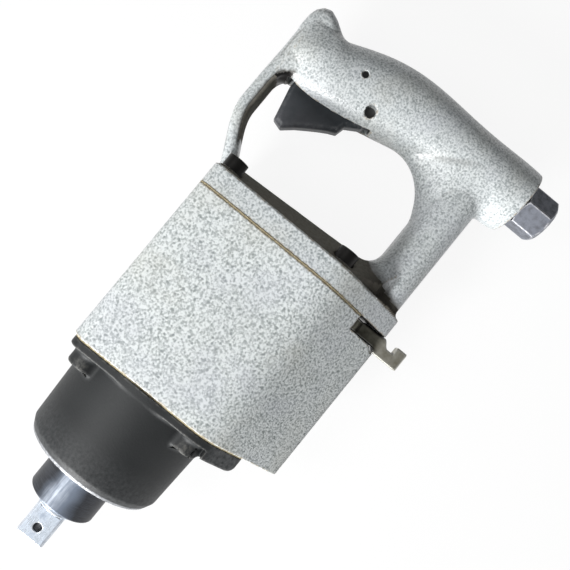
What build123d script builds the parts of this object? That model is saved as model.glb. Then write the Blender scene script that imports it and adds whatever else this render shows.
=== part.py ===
from build123d import *
from math import cos, pi, radians, sin, sqrt
import os

os.makedirs("parts", exist_ok=True)

# Air impact wrench with a square drive and a D-handle, millimetres.
# X points out of the drive, Y towards the air inlet, Z up. The wrench lies on its flat side.
# The origin is the centre of the cross hole for the socket pin, on the spindle axis.

# Square drive and nose
drive_square = 19.05
drive_length = 21.9
drive_tip = 9.4
drive_edge = 1.8
drive_chamfer = 1.2
pin_hole_r = 2.75
collar_r = 12.6
shaft_r = 14.0
nose_front = -18.5
nose_r = 22.0
nose_edge = 3.0
nose_groove = 0.8
seal_t = 4.5
sleeve_bore_r = 17.0

# Hammer case
case_front = -47.3
case_base_r = 48.0
case_draft = 3.0
case_front_r = case_base_r - case_draft
case_rim = 2.6
case_taper = 5.0
case_front_wall = 7.0
case_spigot_r = 19.5
cavity_r = 40.0
case_flange_t = 5.0
case_flange_inset = 1.5
case_flange_end = 67.0
tongue_t = 10.6
tongue_start = 46.0
tongue_round = 4.5
lug_r = 8.5
lug_height = 15.0
gasket_t = 0.8

# Motor housing, whose cross section is a five sided plate with a rounded tip on the inlet side
house_front = -110.9
house_length = 107.7
case_margin = 3.5
left_wall = case_base_r + case_margin
half_height = case_base_r
shoulder_y = 43.0
apex_y = 96.5
left_corner_r = 9.0
shoulder_r = 34.0
tip_r = 9.0
bore_r = 41.1
spigot_length = 3.2
exhaust_w = 7.0
exhaust_l = 26.0

# Screws
m8_r = 4.0
m8_head_r = 6.5
m8_head_h = 8.0
m8_key = 6.0
m8_length = 30.0
thread_end = 4.0
screw_left = 38.0
screw_right = 36.0
screw_z = 33.0
rear_screw_left = 43.0
rear_screw_right = 39.0
rear_pad = 2.0
rear_pad_wall = 1.5

# Named clearances
fit = 0.05
running = 0.05
small_gap = 0.3
side_gap = 0.5

# Impact mechanism
cage_r = 38.5
cage_front_t = 5.5
cage_rear_t = 7.0
cage_rib_inner_r = 35.4
cage_rib_half = 17.0
hub_r = 14.0
hub_length = 9.0
drive_hex = 14.0
hammer_t = 16.0
hammer_r = 34.0
hammer_bore_r = 18.5
pin_circle = 28.0
hammer_pin_r = 3.5
swing = 4.0
lug_circle = 19.5
lug_offset_angle = 48.0
striker_r = 4.5
core_r = 12.5
jaw_centre = 11.8
pilot_r = 7.0

# Air motor
end_plate_front_t = 16.3
end_plate_rear_t = 17.6
cylinder_length = 67.0
chamber_r = 31.0
chamber_offset = 3.2
rotor_r = 27.0
rotor_side_gap = 0.4
vane_count = 6
vane_t = 3.0
vane_depth = 10.4
vane_stand = 0.4
dowel_r = 2.0
dowel_circle = 37.2
front_bearing_bore = 10.0
front_bearing_r = 23.5
front_bearing_w = 14.0
front_ball_r = 3.9
front_ball_count = 8
rear_bearing_bore = 8.5
rear_bearing_r = 20.0
rear_bearing_w = 12.0
rear_ball_r = 3.3
rear_ball_count = 8

# Reverse valve and lever
valve_y = 66.0
valve_r = 8.0
bushing_r = 11.0
valve_length = 58.0
notch_depth = 11.2
notch_y = 68.0
neck_r = 6.0
lever_hub_r = 9.6
lever_t = 8.7
lever_rear_gap = 2.0
lever_width = 8.0
lever_reach = 109.4
tab_w = 7.6
tab_back = 12.4
lever_pin_r = 1.5
detent_r = 1.6

# Handle casting
flange_t = 13.4
flange_edge = 1.0
ridge_x = -244.2
ridge_lean = 0.05
ridge_half = 13.0
ridge_end_y = 66.0
ridge_edge = 3.0
slope_half = 45.0
strut_inner = 60.0
strut_outer = 88.3
strut_depth = 34.0
strut_edge = 14.0
strap_t = 9.2
strap_depth = 24.0
strap_y = -66.6
strap_edge = 3.6
horn_x = -355.5
grip_x = -339.0
grip_end_y = 103.6
boss_r = 21.8
grip_half_x = 25.4
grip_half_z = 20.4
passage_r = 9.0
passage_floor = 0.8
chamber_bore_r = 11.8
chamber_floor_y = 81.0
downstream_r = 8.0
guide_y = 58.0
guide_length = 14.0
guide_r = 6.0

# Trigger and throttle
trigger_x = -319.0
trigger_y = -4.0
trigger_t = 12.0
trigger_pull = 14.0
trigger_pin_r = 3.4
stop_pin_r = 2.1
stop_x = -332.8
stop_y = -20.0
pin_sink = 0.8
finger_out = 42.0
finger_drop = 48.9
arm_half = 3.5
arm_over = 2.5
stem_r = 3.5
seat_t = 4.5
seat_bore_r = 7.0
poppet_r = 9.0
poppet_t = 3.0
face_t = 1.6
spring_wire = 1.2

# Air inlet
hex_flats = 27.0
hex_start_y = 104.8
hex_end_y = 127.6
inlet_thread_r = 12.5
inlet_spigot = 7.0
inlet_seal_r = 15.0
pipe_r = 9.2
pipe_depth = 18.0
screen_t = 1.2

# Stations worked out from the sizes above
square_back = drive_tip - drive_length
seam = house_front - house_length
case_back = house_front + gasket_t
flange_front = seam - gasket_t
flange_back = flange_front - flange_t
front_plate_x = house_front - spigot_length - 0.2
cylinder_front = front_plate_x - end_plate_front_t
cylinder_back = cylinder_front - cylinder_length
rear_plate_x = cylinder_back - end_plate_rear_t
cage_front = case_front - case_front_wall - 3.2
hammer_1_front = cage_front - cage_front_t - side_gap
hammer_2_front = hammer_1_front - hammer_t - side_gap
cage_rear = hammer_2_front - hammer_t - side_gap
hub_back = cage_rear - cage_rear_t - hub_length
notch_front = seam + notch_depth
valve_front = notch_front + valve_length
passage_y = chamber_floor_y - passage_floor - passage_r
lever_back = seam + lever_rear_gap
lever_front = lever_back + lever_t
screw_spots = [(y, z) for y in (-screw_left, screw_right) for z in (-screw_z, screw_z)]
rear_spots = [(y, z) for y in (-rear_screw_left, rear_screw_right) for z in (-screw_z, screw_z)]
rear_seat = flange_back - rear_pad


def across(x):
    """Plane square to the spindle at X = x, drawn in (Y, Z)."""
    return Plane(origin=(x, 0, 0), x_dir=(0, 1, 0), z_dir=(1, 0, 0))


def along_grip(x, y):
    """Plane square to the grip at Y = y, drawn in (X, -Z) about X = x."""
    return Plane(origin=(x, y, 0), x_dir=(1, 0, 0), z_dir=(0, 1, 0))


# Outline of the housing, shared by the gaskets and both flanges
with BuildSketch() as outline:
    with BuildLine():
        Polyline(
            (-left_wall, -half_height),
            (shoulder_y, -half_height),
            (apex_y, 0),
            (shoulder_y, half_height),
            (-left_wall, half_height),
            close=True,
        )
    make_face()
    fillet(outline.vertices().group_by(Axis.X)[0], left_corner_r)
    fillet(outline.vertices().group_by(Axis.X)[-1], tip_r)
    fillet(outline.vertices().filter_by_position(Axis.X, shoulder_y - 0.1, shoulder_y + 0.1), shoulder_r)

# Outline of the hammer case flange: the same shape a little smaller, cut short of the tip
with BuildSketch() as case_outline:
    offset(outline.sketch, amount=-case_flange_inset)
    with Locations((case_flange_end + left_wall, 0)):
        Rectangle(2 * left_wall, 4 * half_height, mode=Mode.SUBTRACT)
    fillet(case_outline.vertices().group_by(Axis.X)[-1], 6)

# Motor housing: aluminium casting bored through for the motor, with the valve bore in its tip
motor_middle = (cylinder_front + cylinder_back) / 2
with BuildPart() as motor_housing:
    with BuildSketch(across(seam)):
        add(outline.sketch)
        Circle(bore_r, mode=Mode.SUBTRACT)
    extrude(amount=house_length)
    with BuildSketch(across(seam)):
        with Locations((valve_y, 0)):
            Circle(bushing_r + fit)
    extrude(amount=notch_depth + valve_length, mode=Mode.SUBTRACT)
    # Open notch across the tip, where the reverse lever swings
    with BuildSketch(across(seam)):
        with Locations((notch_y + apex_y / 2, 0)):
            Rectangle(apex_y, 2 * half_height)
        with Locations((valve_y, 0)):
            Circle(lever_hub_r + 1.6)
    extrude(amount=notch_depth, mode=Mode.SUBTRACT)
    # Air ports between the valve and the motor
    with BuildSketch(along_grip(motor_middle, 0)):
        with GridLocations(24, 8, 2, 2):
            Circle(3)
    extrude(amount=valve_y - valve_r, mode=Mode.SUBTRACT)
    # Exhaust slots in the left wall
    with BuildSketch(along_grip(motor_middle, -left_wall)):
        with GridLocations(16, 0, 3, 1):
            SlotOverall(exhaust_l, exhaust_w, rotation=90)
    extrude(amount=left_wall - bore_r + 6, mode=Mode.SUBTRACT)
    # Tapped holes for the case screws and for the handle screws
    with BuildSketch(across(house_front)):
        with Locations(*screw_spots):
            Circle(m8_r + fit)
    extrude(amount=-m8_length, mode=Mode.SUBTRACT)
    with BuildSketch(across(seam)):
        with Locations(*rear_spots):
            Circle(m8_r + fit)
    extrude(amount=rear_seat + m8_length - seam + thread_end, mode=Mode.SUBTRACT)

# Hammer case: drum with a thick front wall, screw lugs and a locating spigot at the back
lug_tops = [Location((case_back + lug_height, y, z), (0, 90, 0)) for y, z in screw_spots]
with BuildPart() as hammer_case:
    with BuildSketch(Plane.XY):
        with BuildLine():
            Polyline(
                (case_front, case_spigot_r + fit),
                (case_front, case_front_r - case_rim),
                (case_front - case_taper, case_front_r),
                (case_back, case_base_r),
                (case_back, bore_r - fit),
                (house_front - spigot_length, bore_r - fit),
                (house_front - spigot_length, cavity_r),
                (case_front - case_front_wall, cavity_r),
                (case_front - case_front_wall, case_spigot_r + fit),
                close=True,
            )
        make_face()
    revolve(axis=Axis.X)
    with BuildSketch(across(case_back)):
        add(case_outline.sketch)
        Circle(cavity_r, mode=Mode.SUBTRACT)
    extrude(amount=case_flange_t)
    # Thicker tongue beyond the drum, round at its end
    with BuildSketch(across(case_back)):
        add(case_outline.sketch)
        with Locations(((tongue_start + case_flange_end) / 2, 0)):
            Rectangle(case_flange_end - tongue_start, 2 * half_height, mode=Mode.INTERSECT)
    extrude(amount=tongue_t)
    fillet(hammer_case.edges().filter_by(Axis.Z).group_by(Axis.Y)[-1].sort_by(Axis.X)[-1], tongue_round)
    with BuildSketch(across(case_back)):
        with Locations(*screw_spots):
            Circle(lug_r)
        for y, z in screw_spots:
            with BuildLine():
                Polyline((0, 0), (y + 0.15 * z, z - 0.15 * y), (y - 0.15 * z, z + 0.15 * y), close=True)
            make_face()
        Circle(cavity_r + 2, mode=Mode.SUBTRACT)
    extrude(amount=lug_height)
    with Locations(*lug_tops):
        CounterBoreHole(m8_r + small_gap, m8_head_r + small_gap, m8_head_h + 2.4, depth=lug_height + 4)

# Paper gasket behind the hammer case flange
with BuildPart() as case_gasket:
    with BuildSketch(across(house_front)):
        add(case_outline.sketch)
        Circle(bore_r + fit, mode=Mode.SUBTRACT)
        with Locations(*screw_spots):
            Circle(m8_r + small_gap, mode=Mode.SUBTRACT)
    extrude(amount=gasket_t)

# Four cap screws sunk in the lugs, with a spring washer under each head
washer_x = case_back + lug_height - m8_head_h - 2.4
head_x = washer_x + 1.8
with BuildPart() as case_screws:
    with BuildSketch(across(head_x)):
        with Locations(*screw_spots):
            Circle(m8_head_r)
    extrude(amount=m8_head_h)
    with BuildSketch(across(head_x)):
        with Locations(*screw_spots):
            Circle(m8_r)
    extrude(amount=-m8_length)
    with BuildSketch(across(head_x + m8_head_h)):
        with Locations(*screw_spots):
            RegularPolygon(m8_key / 2, 6, major_radius=False)
    extrude(amount=-m8_head_h / 2, mode=Mode.SUBTRACT)

with BuildPart() as case_washers:
    with BuildSketch(across(washer_x)):
        with Locations(*screw_spots):
            Circle(m8_head_r - 0.2)
            Circle(m8_r + 0.2, mode=Mode.SUBTRACT)
    extrude(amount=head_x - washer_x)

# Steel nose pressed into the front wall, with a bronze bushing and a lip seal inside
bushing_back = case_front - case_front_wall
with BuildPart() as nose_sleeve:
    with BuildSketch(Plane.XY):
        with BuildLine():
            Polyline(
                (nose_front, sleeve_bore_r),
                (nose_front, nose_r - nose_edge),
                (nose_front - nose_edge * 0.3, nose_r - nose_edge * 0.3),
                (nose_front - nose_edge, nose_r),
                (nose_front - 3 * nose_edge, nose_r),
                (nose_front - 3 * nose_edge - nose_groove, nose_r - nose_groove),
                (nose_front - 3 * nose_edge - 2 * nose_groove, nose_r),
                (case_front, nose_r),
                (case_front, case_spigot_r),
                (bushing_back, case_spigot_r),
                (bushing_back, sleeve_bore_r),
                close=True,
            )
        make_face()
    revolve(axis=Axis.X)

with BuildPart() as anvil_bushing:
    with BuildSketch(across(bushing_back)):
        Circle(sleeve_bore_r)
        Circle(shaft_r + running, mode=Mode.SUBTRACT)
    extrude(amount=nose_front - seal_t - bushing_back)

with BuildPart() as nose_seal:
    with BuildSketch(across(nose_front - seal_t)):
        Circle(sleeve_bore_r)
        Circle(shaft_r + small_gap, mode=Mode.SUBTRACT)
    extrude(amount=seal_t - 0.6)

# Anvil: square drive, bearing shaft, thrust collar, one striking jaw for each hammer, rear pilot
collar_back = bushing_back - 2.6
with BuildPart() as anvil:
    with BuildSketch(across(square_back)):
        RectangleRounded(drive_square, drive_square, drive_edge)
    extrude(amount=drive_length)
    chamfer(anvil.faces().sort_by(Axis.X)[-1].edges(), drive_chamfer)
    with BuildSketch(Plane.XY):
        with BuildLine():
            Polyline(
                (square_back, 0),
                (square_back, collar_r - 0.8),
                (square_back - 0.8, collar_r),
                (nose_front + 1.4, collar_r),
                (nose_front, shaft_r),
                (bushing_back - side_gap, shaft_r),
                (bushing_back - side_gap, sleeve_bore_r + 1.2),
                (collar_back, sleeve_bore_r + 1.2),
                (collar_back, core_r),
                (cage_rear + small_gap, core_r),
                (cage_rear + small_gap, pilot_r),
                (cage_rear - cage_rear_t + side_gap, pilot_r),
                (cage_rear - cage_rear_t + side_gap, 0),
                close=True,
            )
        make_face()
    revolve(axis=Axis.X)
    with BuildSketch(across(hammer_1_front)):
        with Locations((-jaw_centre, 0)):
            Circle(striker_r)
    extrude(amount=-hammer_t)
    with BuildSketch(across(hammer_2_front)):
        with Locations((jaw_centre, 0)):
            Circle(striker_r)
    extrude(amount=-hammer_t)
    with BuildSketch(Plane.XY):
        Circle(pin_hole_r)
    extrude(amount=drive_square, both=True, mode=Mode.SUBTRACT)

# Hammer cage: two plates joined by two ribs beside the hammer pins, driven by a hex at the back
with BuildPart() as hammer_cage:
    with BuildSketch(across(cage_front)):
        Circle(cage_r)
        Circle(sleeve_bore_r, mode=Mode.SUBTRACT)
    extrude(amount=-cage_front_t)
    with BuildSketch(across(cage_rear)):
        Circle(cage_r)
    extrude(amount=-cage_rear_t)
    with BuildSketch(across(cage_rear)):
        Circle(hub_r)
    extrude(amount=-(cage_rear_t + hub_length))
    with BuildSketch(across(cage_rear)):
        Circle(cage_r)
        Circle(cage_rib_inner_r, mode=Mode.SUBTRACT)
        Rectangle(2 * cage_r, 2 * cage_rib_half, mode=Mode.INTERSECT)
    extrude(amount=cage_front - cage_front_t - cage_rear)
    with BuildSketch(across(cage_rear)):
        Circle(pilot_r + running)
    extrude(amount=-cage_rear_t, mode=Mode.SUBTRACT)
    with BuildSketch(across(hub_back)):
        RegularPolygon(drive_hex / 2 + fit, 6, major_radius=False)
    extrude(amount=hub_length, mode=Mode.SUBTRACT)
    with BuildSketch(across(cage_front)):
        with GridLocations(2 * pin_circle, 0, 2, 1):
            Circle(hammer_pin_r + fit)
    extrude(amount=hub_back - cage_front, mode=Mode.SUBTRACT)

with BuildPart() as hammer_pins:
    with BuildSketch(across(cage_front - side_gap)):
        with GridLocations(2 * pin_circle, 0, 2, 1):
            Circle(hammer_pin_r)
    extrude(amount=cage_rear - cage_rear_t - cage_front + 2 * side_gap)

# Two hammers, each swinging on its own pin, with a slot that clears the other pin
pin_slot = 2 * (hammer_pin_r + 2 * pin_circle * sin(radians(swing)) + 0.6)
with BuildPart() as hammer_front:
    with BuildSketch(across(hammer_1_front)):
        Circle(hammer_r)
        Circle(hammer_bore_r, mode=Mode.SUBTRACT)
        with PolarLocations(lug_circle, 2, 180 - lug_offset_angle, 4 * lug_offset_angle):
            Circle(striker_r)
        with Locations((pin_circle, 0)):
            Circle(hammer_pin_r + running, mode=Mode.SUBTRACT)
        with Locations((-pin_circle, 0)):
            SlotOverall(pin_slot, 2 * hammer_pin_r + 1, rotation=90, mode=Mode.SUBTRACT)
    extrude(amount=-hammer_t)

with BuildPart() as hammer_rear:
    with BuildSketch(across(hammer_2_front)):
        Circle(hammer_r)
        Circle(hammer_bore_r, mode=Mode.SUBTRACT)
        with PolarLocations(lug_circle, 2, -lug_offset_angle, 4 * lug_offset_angle):
            Circle(striker_r)
        with Locations((-pin_circle, 0)):
            Circle(hammer_pin_r + running, mode=Mode.SUBTRACT)
        with Locations((pin_circle, 0)):
            SlotOverall(pin_slot, 2 * hammer_pin_r + 1, rotation=90, mode=Mode.SUBTRACT)
    extrude(amount=-hammer_t)

# Rotor with six vane slots; the vanes rest inside their slots
rotor_front = cylinder_front - rotor_side_gap
rotor_back = cylinder_back + rotor_side_gap
with BuildPart() as rotor:
    with BuildSketch(Plane.XY):
        with BuildLine():
            Polyline(
                (front_plate_x, 0),
                (front_plate_x, front_bearing_bore),
                (rotor_front, front_bearing_bore),
                (rotor_front, rotor_r),
                (rotor_back, rotor_r),
                (rotor_back, rear_bearing_bore),
                (rear_plate_x, rear_bearing_bore),
                (rear_plate_x, 0),
                close=True,
            )
        make_face()
    revolve(axis=Axis.X)
    with BuildSketch(across(front_plate_x)):
        RegularPolygon(drive_hex / 2, 6, major_radius=False)
    extrude(amount=hub_back + hub_length - 0.6 - front_plate_x)
    with BuildSketch(across(rotor_front)):
        with PolarLocations(rotor_r + vane_stand - vane_depth / 2 - 0.3, vane_count, 30):
            Rectangle(vane_depth + 0.6, vane_t + 0.2)
    extrude(amount=rotor_back - rotor_front, mode=Mode.SUBTRACT)

with BuildPart() as rotor_vanes:
    with BuildSketch(across(rotor_front - 0.1)):
        with PolarLocations(rotor_r + vane_stand - vane_depth / 2, vane_count, 30):
            Rectangle(vane_depth, vane_t)
    extrude(amount=rotor_back - rotor_front + 0.2)

# Motor cylinder with its eccentric chamber, air ports and exhaust slots
with BuildPart() as motor_cylinder:
    with BuildSketch(across(cylinder_back)):
        Circle(bore_r - fit)
        with Locations((-chamber_offset, 0)):
            Circle(chamber_r, mode=Mode.SUBTRACT)
        with Locations((0, dowel_circle)):
            Circle(dowel_r + fit, mode=Mode.SUBTRACT)
    extrude(amount=cylinder_length)
    with BuildSketch(along_grip(motor_middle, 0)):
        with GridLocations(24, 8, 2, 2):
            Circle(3)
    extrude(amount=bore_r, mode=Mode.SUBTRACT)
    with BuildSketch(along_grip(motor_middle, -bore_r)):
        with GridLocations(16, 0, 3, 1):
            SlotOverall(exhaust_l - 4, exhaust_w - 2, rotation=90)
    extrude(amount=bore_r / 2, mode=Mode.SUBTRACT)

with BuildPart() as front_end_plate:
    with BuildSketch(across(cylinder_front)):
        Circle(bore_r - fit)
        Circle(front_bearing_bore + 1, mode=Mode.SUBTRACT)
        with Locations((0, dowel_circle)):
            Circle(dowel_r + fit, mode=Mode.SUBTRACT)
    extrude(amount=end_plate_front_t)
    with BuildSketch(across(front_plate_x)):
        Circle(front_bearing_r + fit)
    extrude(amount=-(front_bearing_w + 0.2), mode=Mode.SUBTRACT)

with BuildPart() as rear_end_plate:
    with BuildSketch(across(rear_plate_x)):
        Circle(bore_r - fit)
        Circle(rear_bearing_bore + 1, mode=Mode.SUBTRACT)
        with Locations((0, dowel_circle)):
            Circle(dowel_r + fit, mode=Mode.SUBTRACT)
    extrude(amount=end_plate_rear_t)
    with BuildSketch(across(rear_plate_x)):
        Circle(rear_bearing_r + fit)
    extrude(amount=rear_bearing_w + 0.2, mode=Mode.SUBTRACT)

with BuildPart() as cylinder_dowel:
    with BuildSketch(across(rear_plate_x + 3)):
        with Locations((0, dowel_circle)):
            Circle(dowel_r)
    extrude(amount=front_plate_x - rear_plate_x - 6)

# Ball bearings: outer ring, inner ring and a set of balls for each end of the rotor
front_pitch = (front_bearing_bore + front_bearing_r) / 2
front_bearing_x = front_plate_x - 0.1 - front_bearing_w / 2
front_land = front_ball_r * 0.6
with BuildPart() as front_bearing_outer:
    with BuildSketch(Plane.XY):
        with Locations((front_bearing_x, (front_pitch + front_land + front_bearing_r) / 2)):
            Rectangle(front_bearing_w, front_bearing_r - front_pitch - front_land)
        with Locations((front_bearing_x, front_pitch)):
            Circle(front_ball_r + running, mode=Mode.SUBTRACT)
    revolve(axis=Axis.X)

with BuildPart() as front_bearing_inner:
    with BuildSketch(Plane.XY):
        with Locations((front_bearing_x, (front_bearing_bore + fit + front_pitch - front_land) / 2)):
            Rectangle(front_bearing_w, front_pitch - front_land - front_bearing_bore - fit)
        with Locations((front_bearing_x, front_pitch)):
            Circle(front_ball_r + running, mode=Mode.SUBTRACT)
    revolve(axis=Axis.X)

with BuildPart() as front_bearing_balls:
    with Locations(across(front_bearing_x)):
        with PolarLocations(front_pitch, front_ball_count):
            Sphere(front_ball_r)

rear_pitch = (rear_bearing_bore + rear_bearing_r) / 2
rear_bearing_x = rear_plate_x + 0.1 + rear_bearing_w / 2
rear_land = rear_ball_r * 0.6
with BuildPart() as rear_bearing_outer:
    with BuildSketch(Plane.XY):
        with Locations((rear_bearing_x, (rear_pitch + rear_land + rear_bearing_r) / 2)):
            Rectangle(rear_bearing_w, rear_bearing_r - rear_pitch - rear_land)
        with Locations((rear_bearing_x, rear_pitch)):
            Circle(rear_ball_r + running, mode=Mode.SUBTRACT)
    revolve(axis=Axis.X)

with BuildPart() as rear_bearing_inner:
    with BuildSketch(Plane.XY):
        with Locations((rear_bearing_x, (rear_bearing_bore + fit + rear_pitch - rear_land) / 2)):
            Rectangle(rear_bearing_w, rear_pitch - rear_land - rear_bearing_bore - fit)
        with Locations((rear_bearing_x, rear_pitch)):
            Circle(rear_ball_r + running, mode=Mode.SUBTRACT)
    revolve(axis=Axis.X)

with BuildPart() as rear_bearing_balls:
    with Locations(across(rear_bearing_x)):
        with PolarLocations(rear_pitch, rear_ball_count):
            Sphere(rear_ball_r)

# Reverse valve: a hollow spool in a bronze bushing, turned by the lever on its neck
with BuildPart() as reverse_bushing:
    with BuildSketch(across(notch_front)):
        with Locations((valve_y, 0)):
            Circle(bushing_r)
            Circle(valve_r + running, mode=Mode.SUBTRACT)
    extrude(amount=valve_length)
    with BuildSketch(along_grip(motor_middle, 0)):
        with GridLocations(24, 8, 2, 2):
            Circle(3)
    extrude(amount=valve_y, mode=Mode.SUBTRACT)

with BuildPart() as reverse_valve:
    with BuildSketch(across(notch_front)):
        with Locations((valve_y, 0)):
            Circle(valve_r)
    extrude(amount=valve_length - side_gap)
    with BuildSketch(across(flange_front + side_gap)):
        with Locations((valve_y, 0)):
            Circle(neck_r)
    extrude(amount=notch_front - flange_front)
    with BuildSketch(across(flange_front)):
        with Locations((valve_y, 0)):
            Circle(neck_r * 0.7)
    extrude(amount=notch_front - flange_front + 0.8 * valve_length, mode=Mode.SUBTRACT)
    with BuildSketch(along_grip(motor_middle + 12, 0)):
        with GridLocations(24, 0, 2, 1):
            Circle(2.4)
    extrude(amount=valve_y, mode=Mode.SUBTRACT)
    with BuildSketch(Plane(origin=(lever_back + lever_t / 2, valve_y, 0))):
        Circle(lever_pin_r + fit)
    extrude(amount=neck_r + 1, both=True, mode=Mode.SUBTRACT)

with BuildPart() as reverse_lever:
    with BuildSketch(across(lever_back)):
        with Locations((valve_y, 0)):
            Circle(lever_hub_r)
        with Locations(((valve_y + lever_reach) / 2, 0)):
            Rectangle(lever_reach - valve_y, lever_width)
        with Locations((valve_y, 0)):
            Circle(neck_r + fit, mode=Mode.SUBTRACT)
    extrude(amount=lever_t)
    with BuildSketch(across(lever_front)):
        with Locations((lever_reach - tab_w / 2, 0)):
            Rectangle(tab_w, lever_width)
    extrude(amount=-tab_back)
    fillet(reverse_lever.edges().filter_by(Axis.X).group_by(Axis.Y)[-1], 1.6)
    with BuildSketch(Plane(origin=(lever_back + lever_t / 2, valve_y, 0))):
        Circle(lever_pin_r + fit)
    extrude(amount=lever_hub_r + 1, both=True, mode=Mode.SUBTRACT)

# Cross pin that holds the lever on the neck of the valve
with BuildPart() as lever_pin:
    with BuildSketch(Plane(origin=(lever_back + lever_t / 2, valve_y, 0))):
        Circle(lever_pin_r)
    extrude(amount=0.93 * lever_hub_r, both=True)

# Detent plunger and spring in the handle flange, bearing on the back of the lever hub
detent_y = valve_y - (neck_r + lever_hub_r) / 2
detent_back = flange_front - 3.4
detent_nose = lever_back - small_gap
with BuildPart() as detent_plunger:
    with BuildSketch(Plane(origin=(0, detent_y, 0))):
        with BuildLine():
            Line((detent_back, 0), (detent_nose, 0))
            CenterArc((detent_nose - detent_r, 0), detent_r, 0, 90)
            Line((detent_nose - detent_r, detent_r), (detent_back, detent_r))
            Line((detent_back, detent_r), (detent_back, 0))
        make_face()
    revolve(axis=Axis((0, detent_y, 0), (1, 0, 0)))
with BuildPart() as detent_spring:
    with BuildLine() as detent_coil:
        Helix(pitch=0.9, height=4, radius=1.1, center=(detent_back - 4.4, detent_y, 0), direction=(1, 0, 0))
    with BuildSketch(Plane(origin=detent_coil.line @ 0, z_dir=detent_coil.line % 0)):
        Circle(0.22)
    sweep(path=detent_coil.line, is_frenet=True)

# Handle casting. Its flange closes the housing and a roof shaped ridge carries the D-ring
with BuildPart() as flange:
    with BuildSketch(across(flange_front)):
        add(outline.sketch)
    extrude(amount=-flange_t)
    fillet(flange.faces().sort_by(Axis.X)[0].edges(), flange_edge)
with BuildPart() as ridge:
    with BuildSketch(across(flange_back + 1)):
        offset(outline.sketch, amount=-flange_edge)
        with Locations((ridge_end_y + apex_y / 2, 0)):
            Rectangle(apex_y, 2 * half_height, mode=Mode.SUBTRACT)
    extrude(amount=ridge_x - ridge_lean * ridge_end_y - flange_back - 1)
    # Two faces slope in to a crest that lies further back towards the strut
    for ridge_y in (-left_wall, ridge_end_y):
        with BuildSketch(Plane(origin=(0, ridge_y, 0), x_dir=(1, 0, 0), z_dir=(0, -1, 0))):
            with BuildLine():
                Polyline(
                    (flange_back + 1, -slope_half),
                    (ridge_x - ridge_lean * ridge_y, -ridge_half),
                    (ridge_x - ridge_lean * ridge_y, ridge_half),
                    (flange_back + 1, slope_half),
                    close=True,
                )
            make_face()
    loft(ruled=True, mode=Mode.INTERSECT)
    fillet(ridge.faces().sort_by(Axis.X)[0].edges().filter_by(Axis.Z, reverse=True), ridge_edge)

# Grip: a loft of ovals that swells in the middle and ends in the round inlet boss
grip_mid = grip_x + 3.5
with BuildPart() as grip:
    with BuildSketch(along_grip(grip_x + 15, strap_y + strap_t / 2)):
        Ellipse(grip_half_x * 0.8, strap_depth / 2 + 1)
    with BuildSketch(along_grip(grip_x + 11.5, -40)):
        Ellipse(grip_half_x * 0.86, grip_half_z * 0.9)
    with BuildSketch(along_grip(grip_x + 7.5, -24)):
        Ellipse(grip_half_x * 0.96, grip_half_z * 0.97)
    with BuildSketch(along_grip(grip_mid, trigger_y)):
        Ellipse(grip_half_x, grip_half_z)
    with BuildSketch(along_grip(grip_x - 0.8, 30)):
        Ellipse(grip_half_x * 0.9, grip_half_z)
    with BuildSketch(along_grip(grip_x, grip_end_y - 24)):
        Ellipse(boss_r, boss_r)
    with BuildSketch(along_grip(grip_x, grip_end_y)):
        Ellipse(boss_r, boss_r)
    loft()
    fillet(grip.faces().sort_by(Axis.Y)[-1].edges(), 1.5)

# Hollow strut that carries the air from the grip to the housing tip
strut_mid = (strut_inner + strut_outer) / 2
strut_w = strut_outer - strut_inner
with BuildPart() as strut:
    with BuildSketch(across(flange_back + 3)):
        with Locations((strut_mid - 3, 0)):
            RectangleRounded(strut_w + 6, strut_depth + 2, strut_edge)
    with BuildSketch(across((flange_back + grip_x) / 2)):
        with Locations((strut_mid, 0)):
            RectangleRounded(strut_w, strut_depth, strut_edge - 1)
    with BuildSketch(across(grip_x + 2)):
        with Locations((strut_mid - 1, 0)):
            RectangleRounded(strut_w + 2, strut_depth + 1, strut_edge)
    loft()

# Rounded web in the corner between the strut and the grip
grip_front = grip_x + grip_half_x
with BuildPart() as strut_web:
    with BuildSketch(Plane.XY):
        with BuildLine():
            ThreePointArc(
                (grip_front - 1, strut_inner - 30),
                (grip_front + 9, strut_inner - 11.5),
                (grip_front + 26, strut_inner + 0.5),
            )
            Line((grip_front + 26, strut_inner + 0.5), (grip_front + 26, strut_inner + 5))
            Line((grip_front + 26, strut_inner + 5), (grip_x, strut_inner + 5))
            Line((grip_x, strut_inner + 5), (grip_x, strut_inner - 30))
            Line((grip_x, strut_inner - 30), (grip_front - 1, strut_inner - 30))
        make_face()
    extrude(amount=strut_depth / 2 - 3, both=True)
    fillet(strut_web.edges().filter_by(GeomType.CIRCLE), 9)

# Strap that closes the D on the left and ends in a horn behind the hand
with BuildPart() as strap:
    with BuildLine() as strap_path:
        Spline(
            (flange_front - 3, -left_wall + 5),
            (flange_back - 12, strap_y + 9.5),
            (flange_back - 34, strap_y + 1.2),
            (grip_front - 4, strap_y),
            (horn_x + 10, strap_y + 0.8),
            tangents=[(-1, -0.35), (-1, 0.15)],
        )
    with BuildSketch(Plane(origin=strap_path.line @ 0, x_dir=(0, 0, 1), z_dir=strap_path.line % 0)):
        RectangleRounded(strap_depth, strap_t, strap_edge)
    sweep(path=strap_path.line)
    fillet(strap.faces().sort_by(Axis.X)[0].edges(), 3)

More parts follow.
